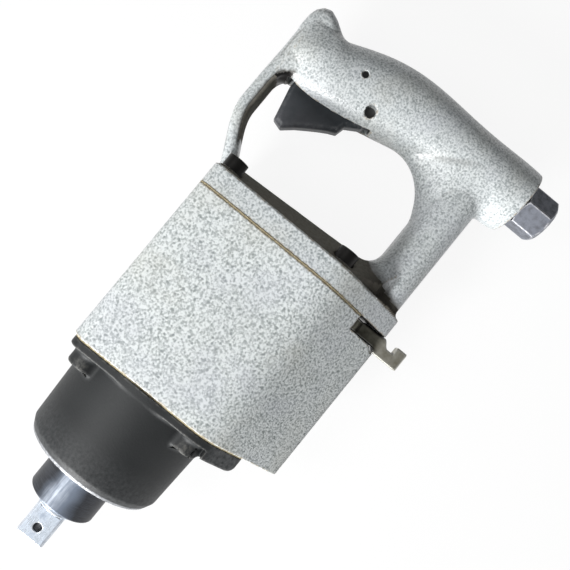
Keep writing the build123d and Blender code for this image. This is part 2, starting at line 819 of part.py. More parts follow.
# Horn: a fin that fills the corner between the strap and the end of the grip
with BuildPart() as horn_web:
    with BuildSketch(Plane.XY) as horn_sketch:
        with BuildLine():
            Polyline(
                (grip_front + 12, strap_y),
                (grip_front + 8, strap_y + 11),
                (grip_front - 6, strap_y + 36),
                (grip_x - 5, strap_y + 30),
                (horn_x + 8, strap_y + 19),
                (horn_x + 2.5, strap_y + 10.5),
                (horn_x - 0.5, strap_y + 3.5),
                (horn_x, strap_y - 2.5),
                (horn_x + 8, strap_y - 5),
                close=True,
            )
        make_face()
        fillet(horn_sketch.vertices().filter_by_position(Axis.X, horn_x - 1, horn_x + 3), 2.5)
    extrude(amount=strap_depth / 2 - 1, both=True)
    fillet(horn_web.edges().filter_by(Axis.Z, reverse=True), 4)

# The casting itself: the pieces above in one, bored for the air, the trigger, the pins and the screws
pocket_back = trigger_x - 9
# Heel of the trigger: the flat that comes up to the stop pin at full pull
pull = radians(trigger_pull)
heel_x = trigger_x + (stop_x - trigger_x) * cos(pull) - (stop_y - trigger_y) * sin(pull)
heel_y = trigger_y + (stop_x - trigger_x) * sin(pull) + (stop_y - trigger_y) * cos(pull)
heel_face = heel_x + stop_pin_r + small_gap
with BuildPart() as handle:
    add(flange.part)
    add(ridge.part)
    add(grip.part)
    add(strut.part)
    add(strut_web.part)
    add(strap.part)
    add(horn_web.part)
    # Spigot that clamps the motor stack in the housing bore
    with BuildSketch(across(rear_plate_x - 0.2)):
        Circle(bore_r - fit)
        Circle(bore_r - 9, mode=Mode.SUBTRACT)
    extrude(amount=flange_front - rear_plate_x - 0.8)
    # Air way: inlet chamber, bore behind the seat, strut passage and outlet to the valve neck
    with BuildSketch(along_grip(grip_x, grip_end_y)):
        Circle(inlet_thread_r + fit)
    extrude(amount=-(inlet_spigot - (hex_start_y - grip_end_y)), mode=Mode.SUBTRACT)
    with BuildSketch(along_grip(grip_x, chamber_floor_y)):
        Circle(chamber_bore_r + fit)
    extrude(amount=grip_end_y - chamber_floor_y, mode=Mode.SUBTRACT)
    with BuildSketch(along_grip(grip_x, guide_y)):
        Circle(downstream_r)
    extrude(amount=chamber_floor_y - guide_y, mode=Mode.SUBTRACT)
    with BuildSketch(along_grip(grip_x, guide_y)):
        Circle(guide_r + fit)
    extrude(amount=-guide_length, mode=Mode.SUBTRACT)
    with BuildSketch(along_grip(grip_x, guide_y)):
        Circle(stem_r + small_gap)
    extrude(amount=trigger_y - guide_y, mode=Mode.SUBTRACT)
    with BuildSketch(across(grip_x)):
        with Locations((passage_y, 0)):
            Circle(passage_r)
    extrude(amount=flange_back - 8 - grip_x, mode=Mode.SUBTRACT)
    with BuildSketch(across(flange_front)):
        with Locations((valve_y, 0)):
            Circle(neck_r * 0.75)
    extrude(amount=-(flange_t + 20), mode=Mode.SUBTRACT)
    # Pocket for the trigger and a deeper well for its arm
    with BuildSketch(Plane.XY):
        with BuildLine():
            Polyline(
                (grip_front + 30, strap_y + strap_t / 2 + 3.5),
                (pocket_back, strap_y + strap_t / 2 + 3.5),
                (pocket_back, heel_y - 5),
                (grip_x - 7, heel_y - 5),
                (grip_x - 7, trigger_y + 11),
                (trigger_x - 4, trigger_y + 11),
                (trigger_x - 4, trigger_y + 7),
                (grip_front + 30, trigger_y + 7),
                close=True,
            )
        make_face()
    extrude(amount=trigger_t / 2 + side_gap, both=True, mode=Mode.SUBTRACT)
    with BuildSketch(Plane(origin=(trigger_x, trigger_y, 0))):
        Circle(trigger_pin_r)
    extrude(amount=2 * grip_half_z, both=True, mode=Mode.SUBTRACT)
    with BuildSketch(Plane(origin=(stop_x, stop_y, 0))):
        Circle(stop_pin_r)
    extrude(amount=2 * grip_half_z, both=True, mode=Mode.SUBTRACT)
    # Pads for the screw heads, cleared through the ridge and drilled
    with BuildSketch(across(flange_back + 1)):
        with Locations(*rear_spots):
            Circle(m8_head_r + rear_pad_wall)
    extrude(amount=-(rear_pad + 1))
    with BuildSketch(across(rear_seat)):
        with Locations(*rear_spots):
            Circle(m8_head_r + small_gap)
    extrude(amount=-2 * m8_head_h, mode=Mode.SUBTRACT)
    with BuildSketch(across(flange_front)):
        with Locations(*rear_spots):
            Circle(m8_r + small_gap)
    extrude(amount=rear_seat - flange_front, mode=Mode.SUBTRACT)
    # Bore for the detent plunger
    with BuildSketch(Plane(origin=(flange_front, detent_y, 0), x_dir=(0, 1, 0), z_dir=(1, 0, 0))):
        Circle(detent_r + fit)
    extrude(amount=-(flange_front - detent_back + 5), mode=Mode.SUBTRACT)

with BuildPart() as handle_gasket:
    with BuildSketch(across(flange_front)):
        add(outline.sketch)
        Circle(bore_r + fit, mode=Mode.SUBTRACT)
        with Locations((notch_y + apex_y / 2, 0)):
            Rectangle(apex_y, 2 * half_height, mode=Mode.SUBTRACT)
        with Locations((valve_y, 0)):
            Circle(lever_hub_r + 1.6, mode=Mode.SUBTRACT)
        with Locations(*rear_spots):
            Circle(m8_r + small_gap, mode=Mode.SUBTRACT)
    extrude(amount=gasket_t)

with BuildPart() as handle_screws:
    with BuildSketch(across(rear_seat)):
        with Locations(*rear_spots):
            Circle(m8_head_r)
    extrude(amount=-m8_head_h)
    with BuildSketch(across(rear_seat)):
        with Locations(*rear_spots):
            Circle(m8_r)
    extrude(amount=m8_length)
    with BuildSketch(across(rear_seat - m8_head_h)):
        with Locations(*rear_spots):
            RegularPolygon(m8_key / 2, 6, major_radius=False)
    extrude(amount=m8_head_h / 2, mode=Mode.SUBTRACT)

# Trigger: a bell crank. The finger end hangs beside the strap, the short arm pushes the valve stem
# and the heel meets the stop pin
arm_top = grip_x - arm_over
hub_wall = 2 * trigger_pin_r
finger_top = (trigger_x + 0.21 * finger_out, trigger_y + 0.04 * finger_drop)
finger_notch = (trigger_x + 0.34 * finger_out, trigger_y - 0.14 * finger_drop)
finger_step = (trigger_x + 0.49 * finger_out, trigger_y - 0.17 * finger_drop)
finger_hollow = (trigger_x + 0.69 * finger_out, trigger_y - 0.47 * finger_drop)
finger_tip = (trigger_x + finger_out, trigger_y - 0.79 * finger_drop)
finger_corner = (trigger_x + 0.91 * finger_out, trigger_y - 0.9 * finger_drop)
finger_end = (trigger_x + 0.4 * finger_out, trigger_y - finger_drop)
finger_foot = (trigger_x + 0.24 * finger_out, trigger_y - finger_drop)
heel_top = (heel_face, heel_y + stop_pin_r)
heel_foot = (heel_face, heel_y - stop_pin_r)
with BuildPart() as trigger:
    with BuildSketch(Plane.XY):
        with BuildLine():
            Polyline(finger_top, (trigger_x, trigger_y + hub_wall), (trigger_x - hub_wall, trigger_y), heel_top)
            Polyline(heel_top, heel_foot, (heel_face + hub_wall, heel_foot[1]), finger_foot, finger_end)
            Polyline(finger_end, finger_corner, finger_tip)
            ThreePointArc(finger_tip, finger_hollow, finger_step)
            Polyline(finger_step, finger_notch, finger_top)
        make_face()
        with Locations((trigger_x, trigger_y)):
            Circle(hub_wall)
        with Locations(((trigger_x + arm_top) / 2, trigger_y)):
            Rectangle(trigger_x - arm_top, 2 * arm_half)
    extrude(amount=trigger_t / 2, both=True)
    fillet(trigger.edges().filter_by(Axis.Z).group_by(Axis.X)[-1], 3)
    with BuildSketch(Plane(origin=(trigger_x, trigger_y, 0))):
        Circle(trigger_pin_r + running)
    extrude(amount=trigger_t, both=True, mode=Mode.SUBTRACT)

# Both pins end a little below the oval surface of the grip
trigger_pin_half = grip_half_z * sqrt(1 - ((trigger_x + trigger_pin_r - grip_mid) / grip_half_x) ** 2) - pin_sink
stop_pin_half = grip_half_z * sqrt(1 - ((stop_x + stop_pin_r - grip_mid) / grip_half_x) ** 2) - pin_sink
with BuildPart() as trigger_pin:
    with BuildSketch(Plane(origin=(trigger_x, trigger_y, 0))):
        Circle(trigger_pin_r)
    extrude(amount=trigger_pin_half, both=True)

with BuildPart() as stop_pin:
    with BuildSketch(Plane(origin=(stop_x, stop_y, 0))):
        Circle(stop_pin_r)
    extrude(amount=stop_pin_half, both=True)

# Throttle: seat ring, guide, poppet with a rubber face on a long stem, and a conical spring
seat_face_y = chamber_floor_y + seat_t
stem_end_y = trigger_y + arm_half + small_gap
with BuildPart() as throttle_seat:
    with BuildSketch(along_grip(grip_x, chamber_floor_y)):
        Circle(chamber_bore_r)
        Circle(seat_bore_r, mode=Mode.SUBTRACT)
    extrude(amount=seat_t)

with BuildPart() as stem_guide:
    with BuildSketch(along_grip(grip_x, guide_y - guide_length)):
        Circle(guide_r)
        Circle(stem_r + running, mode=Mode.SUBTRACT)
    extrude(amount=guide_length)

poppet_y = seat_face_y + face_t + 0.1
with BuildPart() as throttle_valve:
    with BuildSketch(along_grip(grip_x, poppet_y)):
        Circle(poppet_r)
    extrude(amount=poppet_t)
    with BuildSketch(along_grip(grip_x, stem_end_y)):
        Circle(stem_r)
    extrude(amount=poppet_y - stem_end_y)
    fillet(throttle_valve.faces().sort_by(Axis.Y)[0].edges(), 0.8)

with BuildPart() as valve_face:
    with BuildSketch(along_grip(grip_x, seat_face_y + 0.1)):
        Circle(poppet_r)
        Circle(stem_r, mode=Mode.SUBTRACT)
    extrude(amount=face_t)

spring_y = poppet_y + poppet_t + spring_wire / 2 + 0.1
spring_end_y = hex_start_y - inlet_spigot - spring_wire / 2 - 0.1
with BuildPart() as throttle_spring:
    with BuildLine() as spring_coil:
        Helix(
            pitch=(spring_end_y - spring_y) / 3,
            height=spring_end_y - spring_y,
            radius=poppet_r - 3.5,
            center=(grip_x, spring_y, 0),
            direction=(0, 1, 0),
            cone_angle=22,
        )
    with BuildSketch(Plane(origin=spring_coil.line @ 0, z_dir=spring_coil.line % 0)):
        Circle(spring_wire / 2)
    sweep(path=spring_coil.line, is_frenet=True)

# Inlet bushing: hexagon with turned ends, threaded spigot and pipe thread bore
hex_corner = hex_flats / 2 / cos(pi / 6)
screen_y = hex_end_y - pipe_depth - screen_t
screen_r = pipe_r - 0.7
with BuildPart() as inlet_bushing:
    with BuildSketch(along_grip(grip_x, hex_start_y)):
        RegularPolygon(hex_flats / 2, 6, major_radius=False, rotation=30)
    extrude(amount=hex_end_y - hex_start_y)
    with BuildSketch(Plane(origin=(grip_x, 0, 0))):
        with BuildLine():
            Polyline(
                (0, hex_start_y),
                (hex_flats / 2 - 0.3, hex_start_y),
                (hex_corner, hex_start_y + 1.3),
                (hex_corner, hex_end_y - 2.2),
                (hex_flats / 2 - 1.2, hex_end_y),
                (0, hex_end_y),
                close=True,
            )
        make_face()
    revolve(axis=Axis((grip_x, 0, 0), (0, 1, 0)), mode=Mode.INTERSECT)
    with BuildSketch(along_grip(grip_x, hex_start_y)):
        Circle(inlet_thread_r)
    extrude(amount=-inlet_spigot)
    with BuildSketch(along_grip(grip_x, hex_end_y)):
        Circle(pipe_r)
    extrude(amount=-pipe_depth, mode=Mode.SUBTRACT)
    with BuildSketch(along_grip(grip_x, screen_y + screen_t)):
        Circle(screen_r + fit)
    extrude(amount=-screen_t, mode=Mode.SUBTRACT)
    with BuildSketch(along_grip(grip_x, hex_end_y)):
        Circle(screen_r - 0.8)
    extrude(amount=-(hex_end_y - hex_start_y + inlet_spigot), mode=Mode.SUBTRACT)

with BuildPart() as inlet_seal:
    with BuildSketch(along_grip(grip_x, grip_end_y)):
        Circle(inlet_seal_r)
        Circle(inlet_thread_r + fit, mode=Mode.SUBTRACT)
    extrude(amount=hex_start_y - grip_end_y)

with BuildPart() as inlet_screen:
    with BuildSketch(along_grip(grip_x, screen_y)):
        Circle(screen_r)
        with PolarLocations(6, 12):
            Circle(1, mode=Mode.SUBTRACT)
        with PolarLocations(3, 6):
            Circle(1, mode=Mode.SUBTRACT)
        Circle(1, mode=Mode.SUBTRACT)
    extrude(amount=screen_t)

motor_housing.part.label = "motor_housing"
export_step(motor_housing.part, "parts/motor_housing.step")
hammer_case.part.label = "hammer_case"
export_step(hammer_case.part, "parts/hammer_case.step")
case_gasket.part.label = "case_gasket"
export_step(case_gasket.part, "parts/case_gasket.step")
case_screws.part.label = "case_screws"
export_step(case_screws.part, "parts/case_screws.step")
case_washers.part.label = "case_washers"
export_step(case_washers.part, "parts/case_washers.step")
nose_sleeve.part.label = "nose_sleeve"
export_step(nose_sleeve.part, "parts/nose_sleeve.step")
anvil_bushing.part.label = "anvil_bushing"
export_step(anvil_bushing.part, "parts/anvil_bushing.step")
nose_seal.part.label = "nose_seal"
export_step(nose_seal.part, "parts/nose_seal.step")
anvil.part.label = "anvil"
export_step(anvil.part, "parts/anvil.step")
hammer_cage.part.label = "hammer_cage"
export_step(hammer_cage.part, "parts/hammer_cage.step")
hammer_pins.part.label = "hammer_pins"
export_step(hammer_pins.part, "parts/hammer_pins.step")
hammer_front.part.label = "hammer_front"
export_step(hammer_front.part, "parts/hammer_front.step")
hammer_rear.part.label = "hammer_rear"
export_step(hammer_rear.part, "parts/hammer_rear.step")
rotor.part.label = "rotor"
export_step(rotor.part, "parts/rotor.step")
rotor_vanes.part.label = "rotor_vanes"
export_step(rotor_vanes.part, "parts/rotor_vanes.step")
motor_cylinder.part.label = "motor_cylinder"
export_step(motor_cylinder.part, "parts/motor_cylinder.step")
front_end_plate.part.label = "front_end_plate"
export_step(front_end_plate.part, "parts/front_end_plate.step")
rear_end_plate.part.label = "rear_end_plate"
export_step(rear_end_plate.part, "parts/rear_end_plate.step")
cylinder_dowel.part.label = "cylinder_dowel"
export_step(cylinder_dowel.part, "parts/cylinder_dowel.step")
front_bearing_outer.part.label = "front_bearing_outer"
export_step(front_bearing_outer.part, "parts/front_bearing_outer.step")
front_bearing_inner.part.label = "front_bearing_inner"
export_step(front_bearing_inner.part, "parts/front_bearing_inner.step")
front_bearing_balls.part.label = "front_bearing_balls"
export_step(front_bearing_balls.part, "parts/front_bearing_balls.step")
rear_bearing_outer.part.label = "rear_bearing_outer"
export_step(rear_bearing_outer.part, "parts/rear_bearing_outer.step")
rear_bearing_inner.part.label = "rear_bearing_inner"
export_step(rear_bearing_inner.part, "parts/rear_bearing_inner.step")
rear_bearing_balls.part.label = "rear_bearing_balls"
export_step(rear_bearing_balls.part, "parts/rear_bearing_balls.step")
reverse_bushing.part.label = "reverse_bushing"
export_step(reverse_bushing.part, "parts/reverse_bushing.step")
reverse_valve.part.label = "reverse_valve"
export_step(reverse_valve.part, "parts/reverse_valve.step")
reverse_lever.part.label = "reverse_lever"
export_step(reverse_lever.part, "parts/reverse_lever.step")
lever_pin.part.label = "lever_pin"
export_step(lever_pin.part, "parts/lever_pin.step")
detent_plunger.part.label = "detent_plunger"
export_step(detent_plunger.part, "parts/detent_plunger.step")
detent_spring.part.label = "detent_spring"
export_step(detent_spring.part, "parts/detent_spring.step")
handle.part.label = "handle"
export_step(handle.part, "parts/handle.step")
handle_gasket.part.label = "handle_gasket"
export_step(handle_gasket.part, "parts/handle_gasket.step")
handle_screws.part.label = "handle_screws"
export_step(handle_screws.part, "parts/handle_screws.step")
trigger.part.label = "trigger"
export_step(trigger.part, "parts/trigger.step")
trigger_pin.part.label = "trigger_pin"
export_step(trigger_pin.part, "parts/trigger_pin.step")
stop_pin.part.label = "stop_pin"
export_step(stop_pin.part, "parts/stop_pin.step")
throttle_seat.part.label = "throttle_seat"
export_step(throttle_seat.part, "parts/throttle_seat.step")
stem_guide.part.label = "stem_guide"
export_step(stem_guide.part, "parts/stem_guide.step")
throttle_valve.part.label = "throttle_valve"
export_step(throttle_valve.part, "parts/throttle_valve.step")
valve_face.part.label = "valve_face"
export_step(valve_face.part, "parts/valve_face.step")
throttle_spring.part.label = "throttle_spring"
export_step(throttle_spring.part, "parts/throttle_spring.step")
inlet_bushing.part.label = "inlet_bushing"
export_step(inlet_bushing.part, "parts/inlet_bushing.step")
inlet_seal.part.label = "inlet_seal"
export_step(inlet_seal.part, "parts/inlet_seal.step")
inlet_screen.part.label = "inlet_screen"
export_step(inlet_screen.part, "parts/inlet_screen.step")
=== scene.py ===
import bpy
import numpy as np
from mathutils import Matrix, Vector


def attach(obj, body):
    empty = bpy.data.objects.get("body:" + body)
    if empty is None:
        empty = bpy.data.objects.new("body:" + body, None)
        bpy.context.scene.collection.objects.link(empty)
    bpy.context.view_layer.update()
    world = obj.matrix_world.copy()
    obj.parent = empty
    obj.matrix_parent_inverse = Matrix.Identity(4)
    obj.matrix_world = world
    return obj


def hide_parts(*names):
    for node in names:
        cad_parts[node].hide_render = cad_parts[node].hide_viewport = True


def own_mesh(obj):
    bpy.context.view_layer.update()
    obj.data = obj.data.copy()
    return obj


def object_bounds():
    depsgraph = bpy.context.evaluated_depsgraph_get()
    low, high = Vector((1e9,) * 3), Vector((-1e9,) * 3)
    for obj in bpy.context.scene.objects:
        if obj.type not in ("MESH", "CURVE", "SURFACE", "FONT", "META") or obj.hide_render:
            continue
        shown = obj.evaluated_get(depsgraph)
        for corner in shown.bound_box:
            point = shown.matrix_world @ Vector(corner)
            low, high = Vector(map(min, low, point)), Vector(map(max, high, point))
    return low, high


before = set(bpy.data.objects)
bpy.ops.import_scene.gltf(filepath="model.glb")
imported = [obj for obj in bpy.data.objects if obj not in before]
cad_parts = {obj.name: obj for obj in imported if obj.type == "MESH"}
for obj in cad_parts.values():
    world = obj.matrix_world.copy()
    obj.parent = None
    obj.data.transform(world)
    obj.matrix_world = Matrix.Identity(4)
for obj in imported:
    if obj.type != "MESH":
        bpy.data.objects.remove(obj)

cad_low, cad_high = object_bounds()


# Air motor
# A slotted steel rotor with six composite vanes turns in an iron cylinder between two end plates.
# Everything here is ground or turned, and is held by the clamp of the handle flange.

def tone(r, g, b):
    """Linear colour of a shade read as sRGB, each channel from 0 to 255."""
    c = np.array([r, g, b]) / 255
    linear = np.where(c <= 0.04045, c / 12.92, ((c + 0.055) / 1.055) ** 2.4)
    return (*linear.tolist(), 1.0)


class Nodes:
    """A node tree written as nested calls: each call makes a node and gives back its output."""

    def __init__(self, tree):
        self.tree = tree

    def node(self, kind, **settings):
        made = self.tree.nodes.new(kind)
        for key, value in settings.items():
            setattr(made, key, value)
        return made

    def put(self, socket, value):
        """Links an output to a socket, or sets a plain value on it."""
        if isinstance(value, bpy.types.NodeSocket):
            self.tree.links.new(value, socket)
        else:
            socket.default_value = value

    def math(self, operation, a, b=0.0, clamp=False):
        made = self.node("ShaderNodeMath", operation=operation, use_clamp=clamp)
        self.put(made.inputs[0], a)
        self.put(made.inputs[1], b)
        return made.outputs[0]

    def span(self, value, low, high, to_low=0.0, to_high=1.0):
        """Straight line from (low, to_low) to (high, to_high), held level outside."""
        made = self.node("ShaderNodeMapRange")
        self.put(made.inputs[0], value)
        for socket, number in zip(list(made.inputs)[1:5], (low, high, to_low, to_high)):
            socket.default_value = number
        return made.outputs[0]

    def mix(self, share, a, b):
        """Colour a where share is 0, colour b where it is 1."""
        made = self.node("ShaderNodeMix", data_type="RGBA")
        for index, value in ((0, share), (6, a), (7, b)):
            self.put(made.inputs[index], value)
        return made.outputs[2]

    def blend(self, share, a, b):
        """Number a where share is 0, number b where it is 1."""
        made = self.node("ShaderNodeMix")
        for index, value in ((0, share), (2, a), (3, b)):
            self.put(made.inputs[index], value)
        return made.outputs[0]

    def parts(self, vector):
        """The x, y and z of a vector."""
        made = self.node("ShaderNodeSeparateXYZ")
        self.put(made.inputs[0], vector)
        return made.outputs


class Finish(Nodes):
    """A surface finish: one Principled shader fed by patterns on Object coordinates."""

    def __init__(self, name, metallic=0.0, specular=0.5):
        self.material = bpy.data.materials.new(name)
        self.material.use_nodes = True
        super().__init__(self.material.node_tree)
        self.shader = self.tree.nodes["Principled BSDF"]
        self.shader.inputs["Metallic"].default_value = metallic
        self.shader.inputs["Specular IOR Level"].default_value = specular
        self.place = self.node("ShaderNodeTexCoord").outputs["Object"]

    def grain(self, scale, detail=2.0, rough=0.5, stretch=(1, 1, 1), shift=(0, 0, 0)):
        """Fractal noise, its cells 1 / scale metres wide, squeezed by stretch along each axis."""
        lay = self.node("ShaderNodeMapping")
        self.put(lay.inputs["Vector"], self.place)
        lay.inputs["Scale"].default_value = stretch
        lay.inputs["Location"].default_value = shift
        made = self.node("ShaderNodeTexNoise")
        self.put(made.inputs["Vector"], lay.outputs[0])
        made.inputs["Scale"].default_value = scale
        made.inputs["Detail"].default_value = detail
        made.inputs["Roughness"].default_value = rough
        return made.outputs[0]

    def carried(self, name):
        """A number that the mesh carries at each of its points."""
        return self.node("ShaderNodeAttribute", attribute_name=name).outputs["Fac"]

    def corner_wear(self, reach):
        """1 on outer corners, from the angle between the face and a normal rounded over reach."""
        rounded = self.node("ShaderNodeBevel", samples=4)
        rounded.inputs["Radius"].default_value = reach
        flat = self.node("ShaderNodeNewGeometry").outputs["True Normal"]
        dot = self.node("ShaderNodeVectorMath", operation="DOT_PRODUCT")
        self.put(dot.inputs[0], rounded.outputs[0])
        self.put(dot.inputs[1], flat)
        return self.span(dot.outputs["Value"], 0.97, 0.75)

    def wear(self, colour, roughness, height, depth):
        """Puts colour, roughness and a relief of the given depth in metres on the shader."""
        self.put(self.shader.inputs["Base Color"], colour)
        self.put(self.shader.inputs["Roughness"], roughness)
        relief = self.node("ShaderNodeBump")
        relief.inputs["Strength"].default_value = 1.0
        relief.inputs["Distance"].default_value = depth
        self.put(relief.inputs["Height"], height)
        self.put(self.shader.inputs["Normal"], relief.outputs[0])
        return self.material


def coat(material, *names):
    """Gives a CAD node its finish, in every slot that it has."""
    for name in names:
        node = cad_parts[name]
        if not node.material_slots:
            node.data.materials.append(material)
        for slot in node.material_slots:
            slot.material = material


def turned_steel(name, light, dark, roughness, along=(1, 1, 1), metallic=1.0):
    """Steel with fine tool marks across the given stretch, smudges, and brighter corners."""
    steel = Finish(name, metallic=metallic)
    marks = steel.grain(700, 3.0, 0.6, along)
    smudge = steel.grain(60, 3.0)
    colour = steel.mix(steel.span(smudge, 0.3, 0.7), light, dark)
    colour = steel.mix(steel.math("MULTIPLY", steel.corner_wear(0.0006), 0.6), colour, tone(214, 214, 210))
    rough = steel.math("ADD", steel.span(smudge, 0.3, 0.7, roughness - 0.05, roughness + 0.08),
                       steel.span(marks, 0.3, 0.7, -0.03, 0.03))
    return steel.wear(colour, rough, marks, 0.00003)


ring_marks = (6.0, 0.4, 0.4)
ground = turned_steel("ground_steel", tone(188, 189, 188), tone(148, 149, 148), 0.28, ring_marks)
bright = turned_steel("bearing_steel", tone(206, 208, 210), tone(176, 178, 180), 0.16)
dark = turned_steel("dark_steel", tone(96, 96, 96), tone(64, 63, 62), 0.38, ring_marks)
coat(ground, "rotor", "cylinder_dowel", "front_end_plate", "rear_end_plate")
coat(bright, "front_bearing_outer", "front_bearing_inner", "front_bearing_balls",
     "rear_bearing_outer", "rear_bearing_inner", "rear_bearing_balls")
coat(dark, "motor_cylinder")

vane = Finish("vane_composite")
layers = vane.grain(900, 2.0, 0.5, (0.05, 1, 1))
vane_colour = vane.mix(vane.span(layers, 0.35, 0.65), tone(112, 78, 46), tone(76, 50, 30))
coat(vane.wear(vane_colour, vane.span(layers, 0.3, 0.7, 0.5, 0.7), layers, 0.00004), "rotor_vanes")


# Motor housing
# A thick aluminium casting in grey hammertone paint, bored through for the motor. Its upper and
# lower faces are flat, two faces slope to a tip on the inlet side, and the lever has a notch there.

def corner(a, b, lean, r):
    """Meeting of two faces, rounded to r. a and b are distances outside each face, lean is the dot of
    their normals. Between the normals at the rounding's centre the distance is to a circle of r."""
    u, v = a + r, b + r
    p = (u - lean * v) / (1 - lean * lean)
    q = (v - lean * u) / (1 - lean * lean)
    ring = np.sqrt(np.maximum(p * u + q * v, 0)) - r
    return np.where((p > 0) & (q > 0), ring, np.maximum(a, b))


def between(s, low, high):
    """Distance outside the room between two flat ends: max(low - s, s - high)."""
    return np.maximum(low - s, s - high)


def ease(s, start, end):
    """Smooth step from 0 at start to 1 at end: 3 t^2 - 2 t^3."""
    t = np.clip((s - start) / (end - start), 0, 1)
    return t * t * (3 - 2 * t)


def stations(low, high, step, *close, fine=0.45, reach=2.0):
    """Grid lines from low to high, step apart, drawing in to fine within reach of the close places.
    They are the even steps of the summed density of lines."""
    s = np.linspace(low, high, 6000)
    near = [np.exp(-((s - place) / reach) ** 2) for place in close]
    density = 1 / step + (1 / fine - 1 / step) * np.max([np.zeros_like(s)] + near, axis=0)
    total = np.concatenate(([0.0], np.cumsum((density[1:] + density[:-1]) / 2 * np.diff(s))))
    count = int(np.ceil(total[-1]))
    return np.interp(np.linspace(0, total[-1], count + 1), total, s)


def slope_of(field, points, h):
    """Gradient of field at points, by central differences over h."""
    away = np.eye(3) * h
    return np.stack([field(*(points + step).T) - field(*(points - step).T) for step in away], 1) / (2 * h)


def mesh_piece(name, points, quads):
    """New object from points in millimetres and quads; sits at the origin with its place in its mesh."""
    mesh = bpy.data.meshes.new(name)
    mesh.vertices.add(len(points))
    mesh.vertices.foreach_set("co", (points * 0.001).astype(np.float32).ravel())
    mesh.loops.add(quads.size)
    mesh.loops.foreach_set("vertex_index", quads.astype(np.int32).ravel())
    mesh.polygons.add(len(quads))
    mesh.polygons.foreach_set("loop_start", np.arange(0, quads.size, 4, dtype=np.int32))
    mesh.update(calc_edges=True)
    mesh.shade_smooth()
    piece = bpy.data.objects.new(name, mesh)
    bpy.context.scene.collection.objects.link(piece)
    return piece


def skin(name, field, xs, ys, zs, stain_and_shade=None):
    """Closed surface where field(x, y, z) is 0, in millimetres, negative inside. Each grid cell that the
    surface crosses gets one point, the mean of the crossings on its edges, pulled onto the surface along
    the gradient. Each crossed grid edge gets a quad from the four cells round it. The normals are the
    gradient, and the attribute edge is the field's curvature: above 0 on corners, below 0 in hollows."""
    axes = (xs, ys, zs)
    value = field(*np.meshgrid(*axes, indexing="ij"))
    room = tuple(n + 1 for n in value.shape)
    total, count = np.zeros(room + (3,)), np.zeros(room)
    crossings = []
    for a in range(3):
        b, c = (a + 1) % 3, (a + 2) % 3
        low = np.moveaxis(value, a, 0)[:-1]
        high = np.moveaxis(value, a, 0)[1:]
        i, j, k = np.nonzero((low < 0) != (high < 0))
        rest = [axis for axis in range(3) if axis != a]
        index = np.zeros((len(i), 3), int)
        index[:, a], index[:, rest[0]], index[:, rest[1]] = i, j, k
        f0, f1 = low[i, j, k], high[i, j, k]
        point = np.stack([axes[n][index[:, n]] for n in range(3)], 1)
        point[:, a] += (axes[a][i + 1] - axes[a][i]) * f0 / (f0 - f1)
        ring = []
        for step_b, step_c in ((0, 0), (1, 0), (1, 1), (0, 1)):
            cell = index.copy()
            cell[:, a] += 1
            cell[:, b] += step_b
            cell[:, c] += step_c
            np.add.at(total, tuple(cell.T), point)
            np.add.at(count, tuple(cell.T), 1)
            ring.append(cell)
        crossings.append((ring, f0 < 0))
    used = count > 0
    number = np.cumsum(used.ravel()).reshape(room) - 1
    points = total[used] / count[used][:, None]
    for _ in range(3):
        slope = slope_of(field, points, 0.05)
        points -= slope * (field(*points.T) / np.maximum((slope ** 2).sum(1), 0.05))[:, None]
    quads = []
    for ring, outward in crossings:
        ids = np.stack([number[tuple(cell.T)] for cell in ring], 1)
        quads.append(np.where(outward[:, None], ids, ids[:, ::-1]))
    normals = slope_of(field, points, 0.15)
    normals /= np.linalg.norm(normals, axis=1, keepdims=True) + 1e-9
    edge_reach = 1.2
    around = sum(field(*(points + step).T) for step in np.vstack((np.eye(3), -np.eye(3))) * edge_reach)
    carried = {"edge": np.clip((around - 6 * field(*points.T)) / edge_reach, -1, 1)}
    if stain_and_shade is not None:
        carried["stain_and_shade"] = stain_and_shade(points, normals)
    piece = mesh_piece(name, points, np.concatenate(quads))
    for key, numbers in carried.items():
        attribute = piece.data.attributes.new(key, "FLOAT", "POINT")
        attribute.data.foreach_set("value", numbers.astype(np.float32))
    piece.data.normals_split_custom_set_from_vertices(normals.tolist())
    return piece


def stand_for(piece, body, slot, material, *nodes):
    """The piece takes the finish, moves with the body and is shown in place of the CAD nodes."""
    piece.data.materials.append(material)
    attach(piece, body)
    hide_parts(*nodes)


half_height, left_wall, shoulder_y, apex_y = 47.97, 51.5, 43.0, 96.5
corner_round, shoulder_round = 9.0, 34.0


def plate(y, z):
    """Distance outside the five sided outline: left wall, flat top and bottom, two slopes to a tip.
    It is mirrored in z, and its corners are rounded."""
    z = np.abs(z)
    run, rise = apex_y - shoulder_y, half_height
    long = np.hypot(run, rise)
    left = -left_wall - y
    top = z - half_height
    slope = ((y - shoulder_y) * rise + (z - half_height) * run) / long
    mirror = ((y - shoulder_y) * rise + (-z - half_height) * run) / long
    tip = corner(slope, mirror, (rise ** 2 - run ** 2) / long ** 2, corner_round)
    upper = corner(left, top, 0.0, corner_round)
    return np.maximum(np.maximum(upper, corner(top, slope, run / long, shoulder_round)), tip)


house_front, seam = -110.9, -218.6
motor_bore_r, valve_bore_r, valve_bore_end = 41.1, 11.05, -149.4
valve_y, notch_y, notch_front, notch_r, notch_relief = 66.0, 68.0, -209.0, 11.2, 2.2
exhaust_x, exhaust_pitch, exhaust_half, exhaust_r, exhaust_floor = -164.1, 16.0, 9.5, 3.5, -38.0


